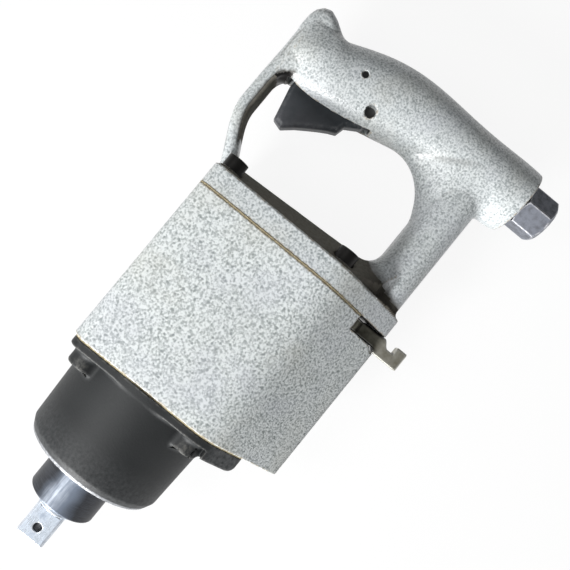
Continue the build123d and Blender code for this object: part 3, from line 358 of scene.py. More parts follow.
def housing_field(x, y, z):
    """The outline carried along the spindle, less the motor bore, valve bore, exhaust slots and notch,
    which is deeper near the tip, where the lever leans forward."""
    body = corner(plate(y, z), between(x, seam, house_front), 0.0, 0.9)
    bore = np.hypot(y, z) - motor_bore_r
    out = np.hypot(y - valve_y, z)
    valve = np.maximum(out - valve_bore_r, x - valve_bore_end)
    relief = notch_relief * ease(out, 21, 24) * ease(np.abs(z), 14, 10)
    notch = np.maximum(np.minimum(notch_y - y, out - notch_r), x - notch_front - relief)
    from_middle = np.abs(x - exhaust_x)
    slot_x = np.where(from_middle < exhaust_pitch / 2, from_middle, from_middle - exhaust_pitch)
    slot_z = np.maximum(np.abs(z) - exhaust_half, 0)
    slots = np.maximum(np.hypot(slot_x, slot_z) - exhaust_r, y - exhaust_floor)
    shape = corner(body, -slots, 0.0, 0.7)
    shape = corner(shape, -notch, 0.0, 0.6)
    return np.maximum(np.maximum(shape, -bore), -valve)


def hammertone(name, speck, light, dark, stain_and_shade, gloss, rough):
    """Hammer finish paint: round dark specks, some faint and some strong, in a light grey with a fine
    grain, a slow change of tone, brown bare metal on worn corners, painted shade in hollows as strong as
    stain_and_shade, and soot with painted shade where the mesh carries stain_and_shade."""
    paint = Finish(name, specular=gloss)
    cells = paint.node("ShaderNodeTexVoronoi")
    paint.put(cells.inputs["Vector"], paint.place)
    cells.inputs["Scale"].default_value = speck
    lot = paint.node("ShaderNodeSeparateColor")
    paint.put(lot.inputs[0], cells.outputs["Color"])
    dot = paint.math("MULTIPLY", paint.span(cells.outputs["Distance"], 0.44, 0.14),
                     paint.span(lot.outputs[0], 0.2, 0.9, 0.1, 0.7))
    fine = paint.grain(speck * 1.9, 1.0, 0.5, shift=(3, 1, 2))
    cloud = paint.grain(14, 3.0, shift=(0.3, 0, 0))
    tint = paint.grain(30, 2.0, shift=(5, 2, 0))
    share = paint.math("ADD", dot, paint.span(fine, 0.32, 0.68, -0.2, 0.8), clamp=True)
    colour = paint.mix(share, light, dark)
    colour = paint.mix(paint.span(cloud, 0.35, 0.75, 0.0, 0.16), colour, tone(150, 152, 148))
    colour = paint.mix(paint.span(tint, 0.5, 0.72, 0.0, 0.22), colour, tone(206, 208, 222))
    colour = paint.mix(paint.span(tint, 0.46, 0.3, 0.0, 0.2), colour, tone(212, 210, 196))
    edge = paint.carried("edge")
    chips = paint.grain(420, 3.0, 0.6, shift=(7, 0, 0))
    worn = paint.math("MULTIPLY", paint.span(edge, 0.25, 0.8), paint.span(chips, 0.42, 0.6), clamp=True)
    colour = paint.mix(paint.math("MULTIPLY", worn, 0.75), colour, tone(176, 160, 134))
    # Painted shade: hollows, where the edge attribute is below 0, are darkened in proportion to
    # stain_and_shade.
    hollow_shade = paint.math("MULTIPLY", paint.span(edge, -0.12, -0.7), stain_and_shade, clamp=True)
    colour = paint.mix(hollow_shade, colour, tone(62, 58, 50))
    # Soot and painted shade, from the stain_and_shade attribute that the mesh carries.
    soot_and_shade = paint.math("MULTIPLY", paint.span(paint.carried("stain_and_shade"), 0.05, 0.6),
                      paint.span(chips, 0.25, 0.6, 0.86, 0.98))
    colour = paint.mix(soot_and_shade, colour, tone(66, 63, 57))
    relief = paint.math("SUBTRACT", 1.0, share)
    return paint.wear(colour, paint.span(share, 0.0, 1.0, rough, rough + 0.1), relief, 0.00008)


housing = skin("grey_motor_housing", housing_field,
               stations(-221, -108.5, 1.5, house_front, seam, notch_front),
               stations(-54, 99, 1.5, notch_y, -left_wall),
               stations(-50.5, 50.5, 1.5))
housing_paint = hammertone("housing_hammertone", 390, tone(240, 245, 245), tone(152, 160, 160),
                           stain_and_shade=0.7, gloss=0.25, rough=0.34)
stand_for(housing, "housing", "grey_paint", housing_paint, "motor_housing")


# Reverse valve and lever
# A hollow steel spool turns in a bronze bushing. A flat steel lever is pinned on its neck, lies in the
# notch of the housing and ends in a tab bent back for the thumb.

bronze = Finish("bronze", metallic=1.0)
bronze_marks = bronze.grain(500, 3.0, 0.6, ring_marks)
bronze_colour = bronze.mix(bronze.span(bronze_marks, 0.3, 0.7), tone(190, 148, 92), tone(142, 104, 60))
bronze_rough = bronze.span(bronze_marks, 0.3, 0.7, 0.3, 0.42)
coat(bronze.wear(bronze_colour, bronze_rough, bronze_marks, 0.00003),
     "reverse_bushing", "anvil_bushing", "stem_guide")
spring = turned_steel("spring_steel", tone(150, 150, 152), tone(112, 112, 114), 0.3)
coat(ground, "reverse_valve", "lever_pin", "detent_plunger")
coat(spring, "detent_spring")

lever_back, lever_front, lever_reach = -218.2, -209.6, 109.4
lever_hub_r, lever_hole_r, lever_half = 9.6, 6.05, 4.0
lean_front, lean_back, arm_extra = 2.6, 4.6, 0.9
tab_back, tab_y = -219.8, 101.8


def lever_field(x, y, z):
    """A round hub and a slightly thicker flat arm, which leans forward outside the notch and has a
    block bent back at its end."""
    out = np.hypot(y - valve_y, z)
    front = lever_front + lean_front * ease(out, 22, 26)
    back = np.where(out < 11.0, lever_back, lever_back - arm_extra) + lean_back * ease(out, 26.5, 31.5)
    thick = between(x, back, front)
    hub = corner(out - lever_hub_r, thick, 0.0, 0.7)
    side = corner(np.abs(z) - lever_half, y - lever_reach, 0.0, 1.6)
    arm = corner(np.maximum(side, valve_y - y), thick, 0.0, 0.7)
    tab = corner(np.maximum(side, tab_y - y), between(x, tab_back, front), 0.0, 1.0)
    shape = np.minimum(hub, np.minimum(arm, tab))
    return np.maximum(shape, lever_hole_r - out)


lever = skin("reverse_lever_steel", lever_field,
             stations(-222, -206, 0.6), stations(54, 111, 0.7), stations(-11, 11, 0.6))
plated = Finish("lever_steel", metallic=0.85)
plated_cloud = plated.grain(220, 4.0, 0.6)
plated_edge = plated.carried("edge")
lever_x, lever_y, _ = plated.parts(plated.place)
plated_share = plated.span(plated_cloud, 0.35, 0.7)
outside = plated.span(lever_y, 0.0885, 0.0935)
# Painted shade: the arm is darker inside the notch than outside it, past y = 88.5 mm.
plated_colour = plated.mix(plated_share, tone(120, 119, 108), tone(86, 84, 75))
outside_notch_colour = plated.mix(plated_share, tone(198, 196, 184), tone(146, 142, 128))
plated_colour = plated.mix(outside, plated_colour, outside_notch_colour)
rubbed_edge = plated.math("MULTIPLY", plated.span(plated_edge, 0.2, 0.7), 0.5)
plated_colour = plated.mix(rubbed_edge, plated_colour, tone(214, 214, 208))
# Painted shade: darker in the lever's hollows.
plated_colour = plated.mix(plated.span(plated_edge, -0.1, -0.6, 0.0, 0.8), plated_colour, tone(50, 48, 44))
# Painted shade: nearly black along the arm's back and front faces inside the slot.
slot_shade = plated.math("MAXIMUM", plated.span(lever_x, -0.2172, -0.2180),
                         plated.span(lever_x, -0.2104, -0.2100))
slot_shade = plated.math("MULTIPLY", slot_shade, plated.math("SUBTRACT", 1.0, outside))
plated_colour = plated.mix(slot_shade, plated_colour, tone(26, 25, 24))
plated_rough = plated.span(plated_cloud, 0.3, 0.7, 0.34, 0.5)
stand_for(lever, "reverse", "lever_steel",
          plated.wear(plated_colour, plated_rough, plated_cloud, 0.00006), "reverse_lever")


# Impact mechanism and anvil
# Twin hammers swing on pins in a cage that the rotor drives, and strike jaws on the anvil. The anvil is
# one forging; its bright ground square has a cross hole for the pin of the socket.

coat(dark, "hammer_cage", "hammer_front", "hammer_rear")
coat(ground, "hammer_pins")

drive_half, drive_round, drive_lead, drive_hole_r = 9.525, 1.8, 1.3, 2.75
drive_tip, square_back, nose_front = 9.4, -12.5, -18.5
collar_r, shaft_r, thrust_r, core_r, pilot_r = 12.6, 14.0, 18.2, 12.5, 7.0
shaft_end, thrust_end, core_end, pilot_end = -54.8, -56.9, -96.2, -103.0
jaw_y, jaw_r, jaw_front_ends, jaw_rear_ends = 11.8, 4.5, (-79.5, -63.5), (-96.0, -80.0)


def anvil_field(x, y, z):
    """A square with rounded corners and a chamfered end, on a turned collar, shaft, core and pilot, with
    one jaw for each hammer; drilled across the square."""
    r = np.hypot(y, z)
    square = corner(np.abs(y) - drive_half, np.abs(z) - drive_half, 0.0, drive_round)
    lead = (x - drive_tip + square + drive_lead) * np.sqrt(0.5)
    square = np.maximum(np.maximum(square, between(x, -40, drive_tip)), lead)
    collar = corner(r - collar_r, between(x, -30, square_back), 0.0, 0.8)
    shaft = corner(r - shaft_r, between(x, shaft_end, nose_front - 0.6), 0.0, 0.5)
    thrust = np.maximum(r - thrust_r, between(x, thrust_end, shaft_end))
    core = np.maximum(r - core_r, between(x, core_end, shaft_end))
    pilot = np.maximum(r - pilot_r, between(x, pilot_end, -90.0))
    jaw_front = np.maximum(np.hypot(y + jaw_y, z) - jaw_r, between(x, *jaw_front_ends))
    jaw_rear = np.maximum(np.hypot(y - jaw_y, z) - jaw_r, between(x, *jaw_rear_ends))
    shape = np.minimum.reduce([square, collar, shaft, thrust, core, pilot, jaw_front, jaw_rear])
    return corner(shape, drive_hole_r - np.hypot(x, y), 0.0, 0.35)


drive_across = stations(-20, 20, 0.9, -9, 9)
anvil = skin("anvil_drive", anvil_field,
             stations(-105, 11, 1.2, -2.5, 2.5, 8.5, square_back, fine=0.4, reach=3.0),
             drive_across, drive_across)
drive = Finish("drive_steel", metallic=0.6)
drive_marks = drive.grain(600, 4.0, 0.6, (0.5, 3.0, 3.0))
drive_smudge = drive.grain(130, 4.0, 0.65)
drive_edge = drive.carried("edge")
drive_colour = drive.mix(drive.span(drive_smudge, 0.48, 0.66), tone(226, 236, 248), tone(164, 175, 190))
drive_colour = drive.mix(drive.span(drive_edge, 0.3, 0.8, 0.0, 0.5), drive_colour, tone(232, 234, 238))
# Painted shade: darker in the anvil's hollows.
drive_colour = drive.mix(drive.span(drive_edge, -0.15, -0.6, 0.0, 0.8), drive_colour, tone(60, 58, 56))
# Painted shade: the wall of the cross hole is nearly black.
drive_x, drive_y, _ = drive.parts(drive.place)
from_hole = drive.math("ADD", drive.math("POWER", drive_x, 2.0), drive.math("POWER", drive_y, 2.0))
hole_shade = drive.span(drive.math("SQRT", from_hole), 0.0029, 0.0026)
drive_colour = drive.mix(hole_shade, drive_colour, tone(22, 22, 24))
drive_rough = drive.math("ADD", drive.span(drive_smudge, 0.4, 0.7, 0.26, 0.42),
                         drive.span(drive_marks, 0.3, 0.7, -0.04, 0.04))
stand_for(anvil, "anvil", "bright_steel",
          drive.wear(drive_colour, drive_rough, drive_marks, 0.00004), "anvil")


# Hammer case
# A cast drum in satin black enamel, its turned front rim bare. A flange with a tongue and four lugs for
# cap screws and spring washers bolts it to the housing over a paper gasket.

case_front, case_back = -47.3, -110.1
case_front_r, case_spread, rim_r, rim_out, rim_down = 45.0, 2.9, 42.4, 2.6, 5.0
flange_inset, flange_top, tongue_y, tongue_end, tongue_top = 1.5, -105.1, 46.0, 67.0, -99.5
lug_left, lug_right, lug_z, lug_r, lug_top = -38.0, 36.0, 33.0, 8.5, -95.1
head_r, head_seat = 6.8, -105.5
case_bore_r, case_bore_front, case_hole_r = 40.0, -54.3, 19.6


def meld(a, b, r):
    """Union of two shapes with a fillet of radius r in the hollow between them."""
    return np.maximum(r, np.minimum(a, b)) - np.hypot(np.maximum(r - a, 0), np.maximum(r - b, 0))


def case_field(x, y, z):
    """A drum that widens to the rear with a tapered rim, a flange a little inside the housing's outline
    that ends in a thicker tongue, and four counterbored lugs; hollow, with a hole for the nose."""
    r = np.hypot(y, z)
    wall = r - (case_front_r + case_spread * (case_front - x) / (case_front - case_back))
    rim_long = np.hypot(rim_out, rim_down)
    taper = ((x - case_front) * rim_out + (r - rim_r) * rim_down) / rim_long
    rim = corner(taper, x - case_front, rim_out / rim_long, 1.0)
    drum = np.maximum(corner(wall, rim, 0.89, 1.5), case_back - x)
    outline = plate(y, z) + flange_inset
    end = corner(outline, y - tongue_end, 0.6, 5.0)
    flange = corner(end, between(x, case_back, flange_top), 0.0, 1.0)
    round_end = np.maximum(corner(y - tongue_end, x - tongue_top, 0.0, 4.5), case_back - x)
    tongue = np.maximum(corner(outline, round_end, 0.0, 1.2), tongue_y - y)
    shape = meld(drum, np.minimum(flange, tongue), 2.0)
    seat = np.hypot(np.where(y < 0, y - lug_left, y - lug_right), np.abs(z) - lug_z)
    lugs = corner(seat - lug_r, between(x, case_back, lug_top), 0.0, 1.6)
    shape = meld(shape, lugs, 3.5)
    screws = np.maximum(seat - head_r, between(x, head_seat, -94.0))
    bore = np.maximum(r - case_bore_r, x - case_bore_front)
    hollow = np.maximum(-bore, case_hole_r - r)
    return np.maximum(np.maximum(corner(shape, -screws, 0.0, 0.4), hollow), case_back - x)


case = skin("black_hammer_case", case_field,
            stations(-111.5, -46, 1.3, case_back, flange_top, case_front - 3, fine=0.5),
            stations(-53, 70, 1.3), stations(-50, 50, 1.3))
enamel = Finish("case_enamel", specular=0.35)
peel = enamel.grain(900, 2.0)
film = enamel.grain(18, 3.0)
case_edge = enamel.carried("edge")
case_chips = enamel.grain(520, 3.0, 0.6)
enamel_colour = enamel.mix(enamel.span(film, 0.35, 0.7), tone(34, 36, 37), tone(45, 47, 48))
scuff = enamel.math("MULTIPLY", enamel.span(case_edge, 0.25, 0.8),
                    enamel.span(case_chips, 0.4, 0.62), clamp=True)
enamel_colour = enamel.mix(enamel.math("MULTIPLY", scuff, 0.3), enamel_colour, tone(140, 138, 132))
forward, toward_tip, _ = enamel.parts(enamel.place)
bare = enamel.math("MULTIPLY", enamel.span(forward, -0.0497, -0.0488),
                   enamel.span(case_chips, 0.36, 0.56, 0.45, 1.0))
tongue_dust = enamel.math("MULTIPLY", enamel.span(forward, -0.098, -0.102, 0.0, 0.7),
                          enamel.span(toward_tip, 0.046, 0.052))
dust = enamel.math("ADD", enamel.span(forward, -0.074, -0.052, 0.0, 0.3), tongue_dust)
dust = enamel.math("MULTIPLY", dust, enamel.span(case_chips, 0.3, 0.7))
enamel_colour = enamel.mix(dust, enamel_colour, tone(112, 114, 116))
enamel_colour = enamel.mix(bare, enamel_colour, tone(172, 174, 178))
enamel.put(enamel.shader.inputs["Metallic"], enamel.math("MULTIPLY", bare, 0.9))
enamel_rough = enamel.math("ADD", enamel.span(film, 0.3, 0.7, 0.5, 0.58),
                           enamel.span(peel, 0.3, 0.7, -0.04, 0.04))
stand_for(case, "housing", "black_case",
          enamel.wear(enamel_colour, enamel_rough, peel, 0.00006), "hammer_case")

blacking = turned_steel("black_screw", tone(58, 57, 56), tone(38, 37, 36), 0.4, metallic=0.8)
coat(blacking, "case_screws", "handle_screws")
coat(spring, "case_washers")

paper = Finish("gasket_paper", specular=0.2)
fibre = paper.grain(900, 4.0, 0.65)
paper_colour = paper.mix(paper.span(fibre, 0.35, 0.65), tone(196, 184, 152), tone(136, 124, 98))
coat(paper.wear(paper_colour, paper.span(fibre, 0.3, 0.7, 0.75, 0.9), fibre, 0.00008),
     "case_gasket", "handle_gasket")


# Nose sleeve
# A turned and blackened steel sleeve pressed into the front of the case, with a painted highlight along
# its top and painted shade down its sides. It holds a bronze bushing for the anvil and a rubber lip seal.

nose_r, nose_step_r, nose_bore_r = 22.0, 19.5, 17.0


def nose_field(x, y, z):
    """A tube with an eased front edge and a turned step inside the case."""
    r = np.hypot(y, z)
    tube = np.maximum(corner(r - nose_r, x - nose_front, 0.0, 1.1), case_front - 0.1 - x)
    step = np.maximum(r - nose_step_r, between(x, case_bore_front, case_front + 1.0))
    return np.maximum(np.minimum(tube, step), nose_bore_r - r)


nose_across = stations(-23.5, 23.5, 0.9)
nose = skin("nose_sleeve_turned", nose_field,
            stations(-55.5, -17.3, 1.0, nose_front - 0.6, case_front, fine=0.4), nose_across, nose_across)
blued = Finish("nose_steel", metallic=0.3, specular=0.3)
lathe = blued.grain(500, 3.0, 0.6, (8.0, 0.3, 0.3))
heat = blued.grain(45, 3.0)
_, nose_y, _ = blued.parts(blued.place)
drift = blued.span(heat, 0.3, 0.7, -0.003, 0.003)
streaks = blued.grain(700, 3.0, 0.6, (0.12, 1, 1))
# Painted highlight and shade: lighter in a band along the top, near y = -1 mm, and darker down the sides.
aside = blued.math("ADD", blued.math("ABSOLUTE", blued.math("ADD", nose_y, 0.001)), drift)
blued_colour = blued.mix(blued.span(aside, 0.004, 0.012), tone(118, 128, 143), tone(50, 51, 54))
# Painted highlight: a brighter streaked band near y = -4 mm.
painted_highlight = blued.math("ADD", blued.math("ABSOLUTE", blued.math("ADD", nose_y, 0.004)), drift)
painted_highlight = blued.math("MULTIPLY", blued.span(painted_highlight, 0.006, 0.001), blued.span(streaks, 0.35, 0.65, 0.25, 1.0))
blued_colour = blued.mix(painted_highlight, blued_colour, tone(206, 214, 226))
blued_colour = blued.mix(blued.span(lathe, 0.35, 0.7, 0.0, 0.2), blued_colour, tone(134, 140, 152))
blued_rough = blued.span(lathe, 0.3, 0.7, 0.36, 0.48)
stand_for(nose, "housing", "dark_steel",
          blued.wear(blued_colour, blued_rough, lathe, 0.00003), "nose_sleeve")

rubber = Finish("seal_rubber", specular=0.3)
bloom = rubber.grain(300, 4.0, 0.6)
rubber_colour = rubber.mix(rubber.span(bloom, 0.35, 0.7), tone(34, 34, 34), tone(52, 51, 50))
coat(rubber.wear(rubber_colour, rubber.span(bloom, 0.3, 0.7, 0.6, 0.75), bloom, 0.00005),
     "nose_seal", "valve_face", "inlet_seal")


# Handle casting
# One aluminium casting in the same paint: a flange that closes the housing, a roof behind it, and a D of
# strap, oval grip and strut with a horn behind the hand. Inner corners are filleted; the roof is sooty and
# painted darker as painted shade.

flange_front, flange_back, in_flange = -219.4, -232.8, -225.0
ridge_x, ridge_lean, roof_half, roof_taper = -244.2, 0.05, 45.0, 32.0
roof_low, roof_high, roof_inset = -48.5, 66.0, 1.5

strap_outer, strap_rise, strap_half = -71.3, 19.8, 4.6
strap_bend, strap_root, strap_end, strap_side, horn_grow = -278.0, -222.0, -336.0, 12.0, 3.3
horn_outline = [(-318, -66.0), (-336, -68.7), (-343.5, -68.5), (-347.6, -67.4), (-350.4, -65.2),
                (-351.6, -62.0), (-349.6, -57.0), (-345.5, -50.6), (-342, -44), (-330, -40), (-326, -54)]

grip_x, grip_end, grip_low = -339.0, 103.6, -66.0
grip_y = np.array([-62.0, -45.0, -32.6, -10.0, 2.6, 22.6, 46.0, 70.0, 103.0])
grip_rear = np.array([-343.5, -346.8, -352.4, -360.0, -361.7, -362.6, -362.2, -360.9, -361.0])
grip_fore = np.array([-303.0, -302.8, -303.4, -307.0, -310.0, -316.0, -317.4, -317.0, -316.8])
rear_line = np.polynomial.Polynomial.fit(grip_y, grip_rear + 0.35, 5)
fore_line = np.polynomial.Polynomial.fit(grip_y, grip_fore, 5)
thick_line = np.polynomial.Polynomial.fit([-66.0, -62.0, -40.0, -10.0, 25.0, 60.0, 85.0, 104.0],
                                          [9.0, 11.0, 18.2, 20.3, 20.6, 21.2, 21.8, 21.8], 5)

strut_y, strut_half_y, strut_half_z, strut_round, strut_ends = 72.6, 14.2, 17.0, 12.5, (-346.0, -226.0)
trigger_pin, stop_pin, trigger_pin_r, stop_pin_r = (-319.0, -4.0), (-332.8, -20.0), 3.4, 2.1
pocket_half, pocket_x, pocket_y = 6.5, (-328.0, -265.0), (-56.6, 3.0)
well_x, well_y = (-346.0, -323.0), (-27.9, 7.0)
pad_back, pad_r, pad_low, pad_high, pad_z, shank_r = -234.8, 8.0, -43.0, 39.0, 33.0, 4.3
airway_steps = [(81, 110, 11.9), (97.8, 110, 12.6), (58, 81, 8), (44, 58, 6.1), (0, 44, 3.9)]


def polygon(x, y, corners):
    """Distance outside a closed outline: the least distance to its sides, negative inside by winding."""
    a = np.array(corners, float)
    b = np.roll(a, -1, 0)
    far = np.full(np.shape(x), 1e9)
    inside = np.zeros(np.shape(x), bool)
    for (ax, ay), (bx, by) in zip(a, b):
        ex, ey = bx - ax, by - ay
        t = np.clip(((x - ax) * ex + (y - ay) * ey) / (ex * ex + ey * ey), 0, 1)
        far = np.minimum(far, np.hypot(x - ax - t * ex, y - ay - t * ey))
        inside ^= ((ay > y) != (by > y)) & (x < ax + (y - ay) * ex / (ey + (ey == 0)))
    return np.where(inside, -far, far)


def flange_shape(x, y, z):
    """The housing's outline as a plate with a rounded rear edge, and the roof: two faces that slope in
    to a rounded crest, cut off at both ends. The roof begins inside the plate, at in_flange."""
    outline = plate(y, z)
    flange = np.maximum(corner(outline, flange_back - x, 0.0, 1.0), x - flange_front)
    crest = ridge_x - ridge_lean * y
    lean = roof_taper / (flange_back + 1.0 - crest)
    face = (np.abs(z) - roof_half + (flange_back + 1.0 - x) * lean) / np.hypot(1, lean)
    roof = corner(face, crest - x, 0.9, 3.0)
    ends = np.maximum(x - in_flange, between(y, roof_low, roof_high))
    return np.minimum(flange, np.maximum(np.maximum(roof, outline + roof_inset), ends))


def strap_shape(x, y, z):
    """A flat strap that eases out from the flange corner, and the horn at its end, both rounded at the
    edge. lie is the length of the strap's slope, which keeps its thickness even in the bend."""
    bend_long = strap_root - strap_bend
    bend = np.clip((x - strap_bend) / bend_long, 0, 1)
    lie = np.hypot(1, strap_rise / bend_long * 6 * bend * (1 - bend))
    strap_y = strap_outer + strap_rise * ease(bend, 0, 1) + strap_half * lie
    strap = np.maximum(np.abs(y - strap_y) / lie - strap_half, between(x, strap_end, strap_root))
    horn = polygon(x, y, horn_outline) - horn_grow
    side = np.abs(z) - strap_side
    strap = corner(strap, side, 0.0, 4.5 + 2.5 * ease(x, -290, -320))
    return np.minimum(strap, corner(horn, side, 0.0, 7.0))


def grip_shape(x, y, z):
    """Ovals between the rear and front lines of the grip, ending square at the inlet. With e the share
    of the way out to the oval, the distance is about e (e - 1) over the gradient of e e / 2."""
    rear, fore, thick = rear_line(y), fore_line(y), thick_line(y)
    mid, half = (rear + fore) / 2, (fore - rear) / 2
    u, v = (x - mid) / half, z / thick
    e = np.sqrt(u * u + v * v) + 1e-6
    oval = e * (e - 1) / (np.sqrt((u / half) ** 2 + (v / thick) ** 2) + 1e-6)
    oval = np.maximum(oval, -0.9 * half)
    return np.maximum(corner(oval, y - grip_end, 0.0, 0.8), grip_low - y)


def strut_shape(x, y, z):
    """A round cornered bar from the flange to the middle of the grip."""
    side = corner(np.abs(y - strut_y) - strut_half_y, np.abs(z) - strut_half_z, 0.0, strut_round)
    return np.maximum(side, between(x, *strut_ends))


def pin_holes(x, y):
    """Distance outside the holes of the trigger pin and the stop pin."""
    return np.minimum(np.hypot(x - trigger_pin[0], y - trigger_pin[1]) - trigger_pin_r,
                      np.hypot(x - stop_pin[0], y - stop_pin[1]) - stop_pin_r)


def handle_field(x, y, z):
    """Flange, roof, strap, horn, oval grip and strut, joined with fillets, less the trigger pocket, pin
    holes, screw seats and the stepped air way along the grip. The strut's fillet is largest inside the
    D, and the horn's dies out at its back."""
    zz = np.abs(z)
    flange, strap = flange_shape(x, y, z), strap_shape(x, y, z)
    grip, strut = grip_shape(x, y, z), strut_shape(x, y, z)
    inner = ease(y, 78, 54) * ease(zz, 24, 0)
    crown = ease(zz, 5, 12) * ease(x, -349, -340)
    horn_fillet = (2.0 + 4.0 * ease(x, -349, -323) + 6.0 * crown) * ease(y, -72.5, -63.5) + 0.01
    strut_fillet = (5.0 + 37.0 * inner) * ease(x, -346, -332) + 0.01
    root_fillet = 3.0 + 11.0 * ease(y, 84, 62)
    shape = np.minimum.reduce([meld(grip, strap, horn_fillet), meld(grip, strut, strut_fillet),
                               meld(flange, strut, root_fillet), meld(flange, strap, 8.0)])
    beside = np.minimum(plate(y, z), x - flange_back)
    shape = np.maximum(np.maximum(shape, x - flange_front), beside)

    pocket = np.maximum.reduce([between(x, *pocket_x), between(y, *pocket_y), zz - pocket_half])
    well = np.maximum.reduce([between(x, *well_x), between(y, *well_y), zz - pocket_half])
    shape = corner(shape, -pocket, 0.0, 1.0)
    seat = np.minimum(np.hypot(y - pad_low, zz - pad_z), np.hypot(y - pad_high, zz - pad_z))
    pad = corner(seat - pad_r, between(x, pad_back, in_flange), 0.0, 0.5)
    shape = np.minimum(shape, pad)
    shape = corner(shape, -np.maximum(seat - head_r, x - pad_back), 0.0, 0.4)
    shape = np.maximum(shape, shank_r - seat)
    shape = corner(shape, -pin_holes(x, y), 0.0, 0.4)
    from_axis = np.hypot(x - grip_x, z)
    airway = np.minimum.reduce([np.maximum(from_axis - r, between(y, low, high))
                                for low, high, r in airway_steps])
    return np.maximum(np.maximum(shape, -well), -airway)


def roof_soot_and_shade(points, normals):
    """Soot and painted shade: 1 close behind the flange, fading over 40 on the roof and over 10 beside the
    tip.
    Painted shade alone: 1 on the forward facing step beside the tip, less on the inner sides of the strap
    and strut, and 1 in the pin holes and on the joint face."""
    x, y = points[:, 0], points[:, 1]
    facing_x, facing_y = normals[:, 0], normals[:, 1]
    fade = 10 + 16 * ease(y, 84, 48) + 14 * ease(y, 58, 48)
    behind = ease(x, flange_back - fade, flange_back - fade / 21)
    behind = behind * ease(x, flange_back + 0.2, flange_back - 0.8) * ease(y, -53, -48)
    step = ease(facing_x, 0.2, 0.5) * ease(x, -236, -234) * ease(x, -231, -232) * (y > 55)
    arch = np.maximum(ease(facing_y, 0.3, 0.6), ease(facing_x, 0.3, 0.6))
    strap = 0.7 * arch * ease(y, -52, -56) * ease(x, -318, -310)
    inside = 0.22 * ease(facing_y, -0.3, -0.7) * ease(y, 40, 50) * ease(x, -300, -270)
    joint = ease(facing_x, 0.6, 0.8) * ease(x, -221, -220.2)
    return np.maximum.reduce([behind, step, strap, inside, joint, ease(pin_holes(x, y), 0.05, -0.15)])


handle = skin("grey_handle_casting", handle_field,
              stations(-364.5, -218, 1.5, flange_front, trigger_pin[0], stop_pin[0], fine=0.55, reach=3.0),
              stations(-74, 105, 1.5, trigger_pin[1], stop_pin[1], grip_end, fine=0.55, reach=3.0),
              stations(-50, 50, 1.5), stain_and_shade=roof_soot_and_shade)
handle_paint = hammertone("handle_hammertone", 420, tone(230, 235, 236), tone(152, 160, 162),
                          stain_and_shade=0.8, gloss=0.8, rough=0.3)
stand_for(handle, "housing", "grey_paint", handle_paint, "handle")

# A darker finish for the roof faces that carry soot and painted shade.
soot_and_shade = Finish("flange_soot_and_shade", specular=0.1)
crust = soot_and_shade.grain(500, 4.0, 0.6)
soot_and_shade_colour = soot_and_shade.mix(soot_and_shade.span(crust, 0.35, 0.7), tone(128, 124, 116), tone(154, 150, 140))
_, shade_y, _ = soot_and_shade.parts(soot_and_shade.place)
# Painted shade: the soot finish darkens from y = 48 to 66 mm, towards the strut's root.
soot_and_shade_colour = soot_and_shade.mix(soot_and_shade.span(shade_y, 0.048, 0.066), soot_and_shade_colour, tone(70, 67, 61))
handle.data.materials.append(soot_and_shade.wear(soot_and_shade_colour, soot_and_shade.span(crust, 0.3, 0.7, 0.8, 0.95), crust, 0.0001))
handle.data.materials.append(blacking)

# Faces that mostly carry soot and painted shade take the darker soot finish on the roof, and the
# blacking, as painted shade, in the pin holes and on the joint face.
pins_end, joint_start, mostly = -0.300, -0.221, 0.6
soot_and_shade_level = np.zeros(len(handle.data.vertices), np.float32)
handle.data.attributes["stain_and_shade"].data.foreach_get("value", soot_and_shade_level)
corner_of = np.zeros(len(handle.data.loops), np.int32)
handle.data.loops.foreach_get("vertex_index", corner_of)
place = np.zeros(len(handle.data.vertices) * 3, np.float32)
handle.data.vertices.foreach_get("co", place)
along = place[0::3][corner_of].reshape(-1, 4).mean(1)
hidden = (along < pins_end) | (along > joint_start)
soot_and_shade_level = soot_and_shade_level[corner_of].reshape(-1, 4)
black_faces = np.where(hidden, soot_and_shade_level.min(1), soot_and_shade_level.mean(1)) > mostly
handle.data.polygons.foreach_set("material_index", (black_faces * (1 + hidden)).astype(np.int32))


# Trigger and its pins
# A cast bell crank in dark blue grey enamel, painted lighter towards its finger face as painted light. It
# swings on a steel pin through the grip, and a second pin stops it.

finger_outline = [(-310.2, -2.0), (-304.7, -10.8), (-298.4, -12.3), (-296.2, -17.0), (-293.2, -22.0),
                  (-289.9, -27.0), (-284.6, -34.6), (-278.6, -41.4), (-280.6, -48.0), (-302.0, -52.9),
                  (-308.8, -52.9), (-319.3, -25.0), (-326.1, -25.0), (-326.1, -20.8), (-325.8, -4.0),
                  (-319.0, 2.8)]
trigger_half, trigger_hub_r, trigger_hole_r, arm_half, arm_end = 6.0, 6.8, 3.45, 3.5, -341.5


def trigger_field(x, y, z):
    """The crank's outline and its short arm, with rounded sides, drilled for the pin."""
    crank = polygon(x, y, finger_outline)
    from_pin = np.hypot(x - trigger_pin[0], y - trigger_pin[1])
    arm = np.maximum(np.abs(y - trigger_pin[1]) - arm_half, between(x, arm_end, trigger_pin[0]))
    flat = np.minimum(np.minimum(crank, from_pin - trigger_hub_r), arm)
    return np.maximum(corner(flat, np.abs(z) - trigger_half, 0.0, 3.5), trigger_hole_r - from_pin)


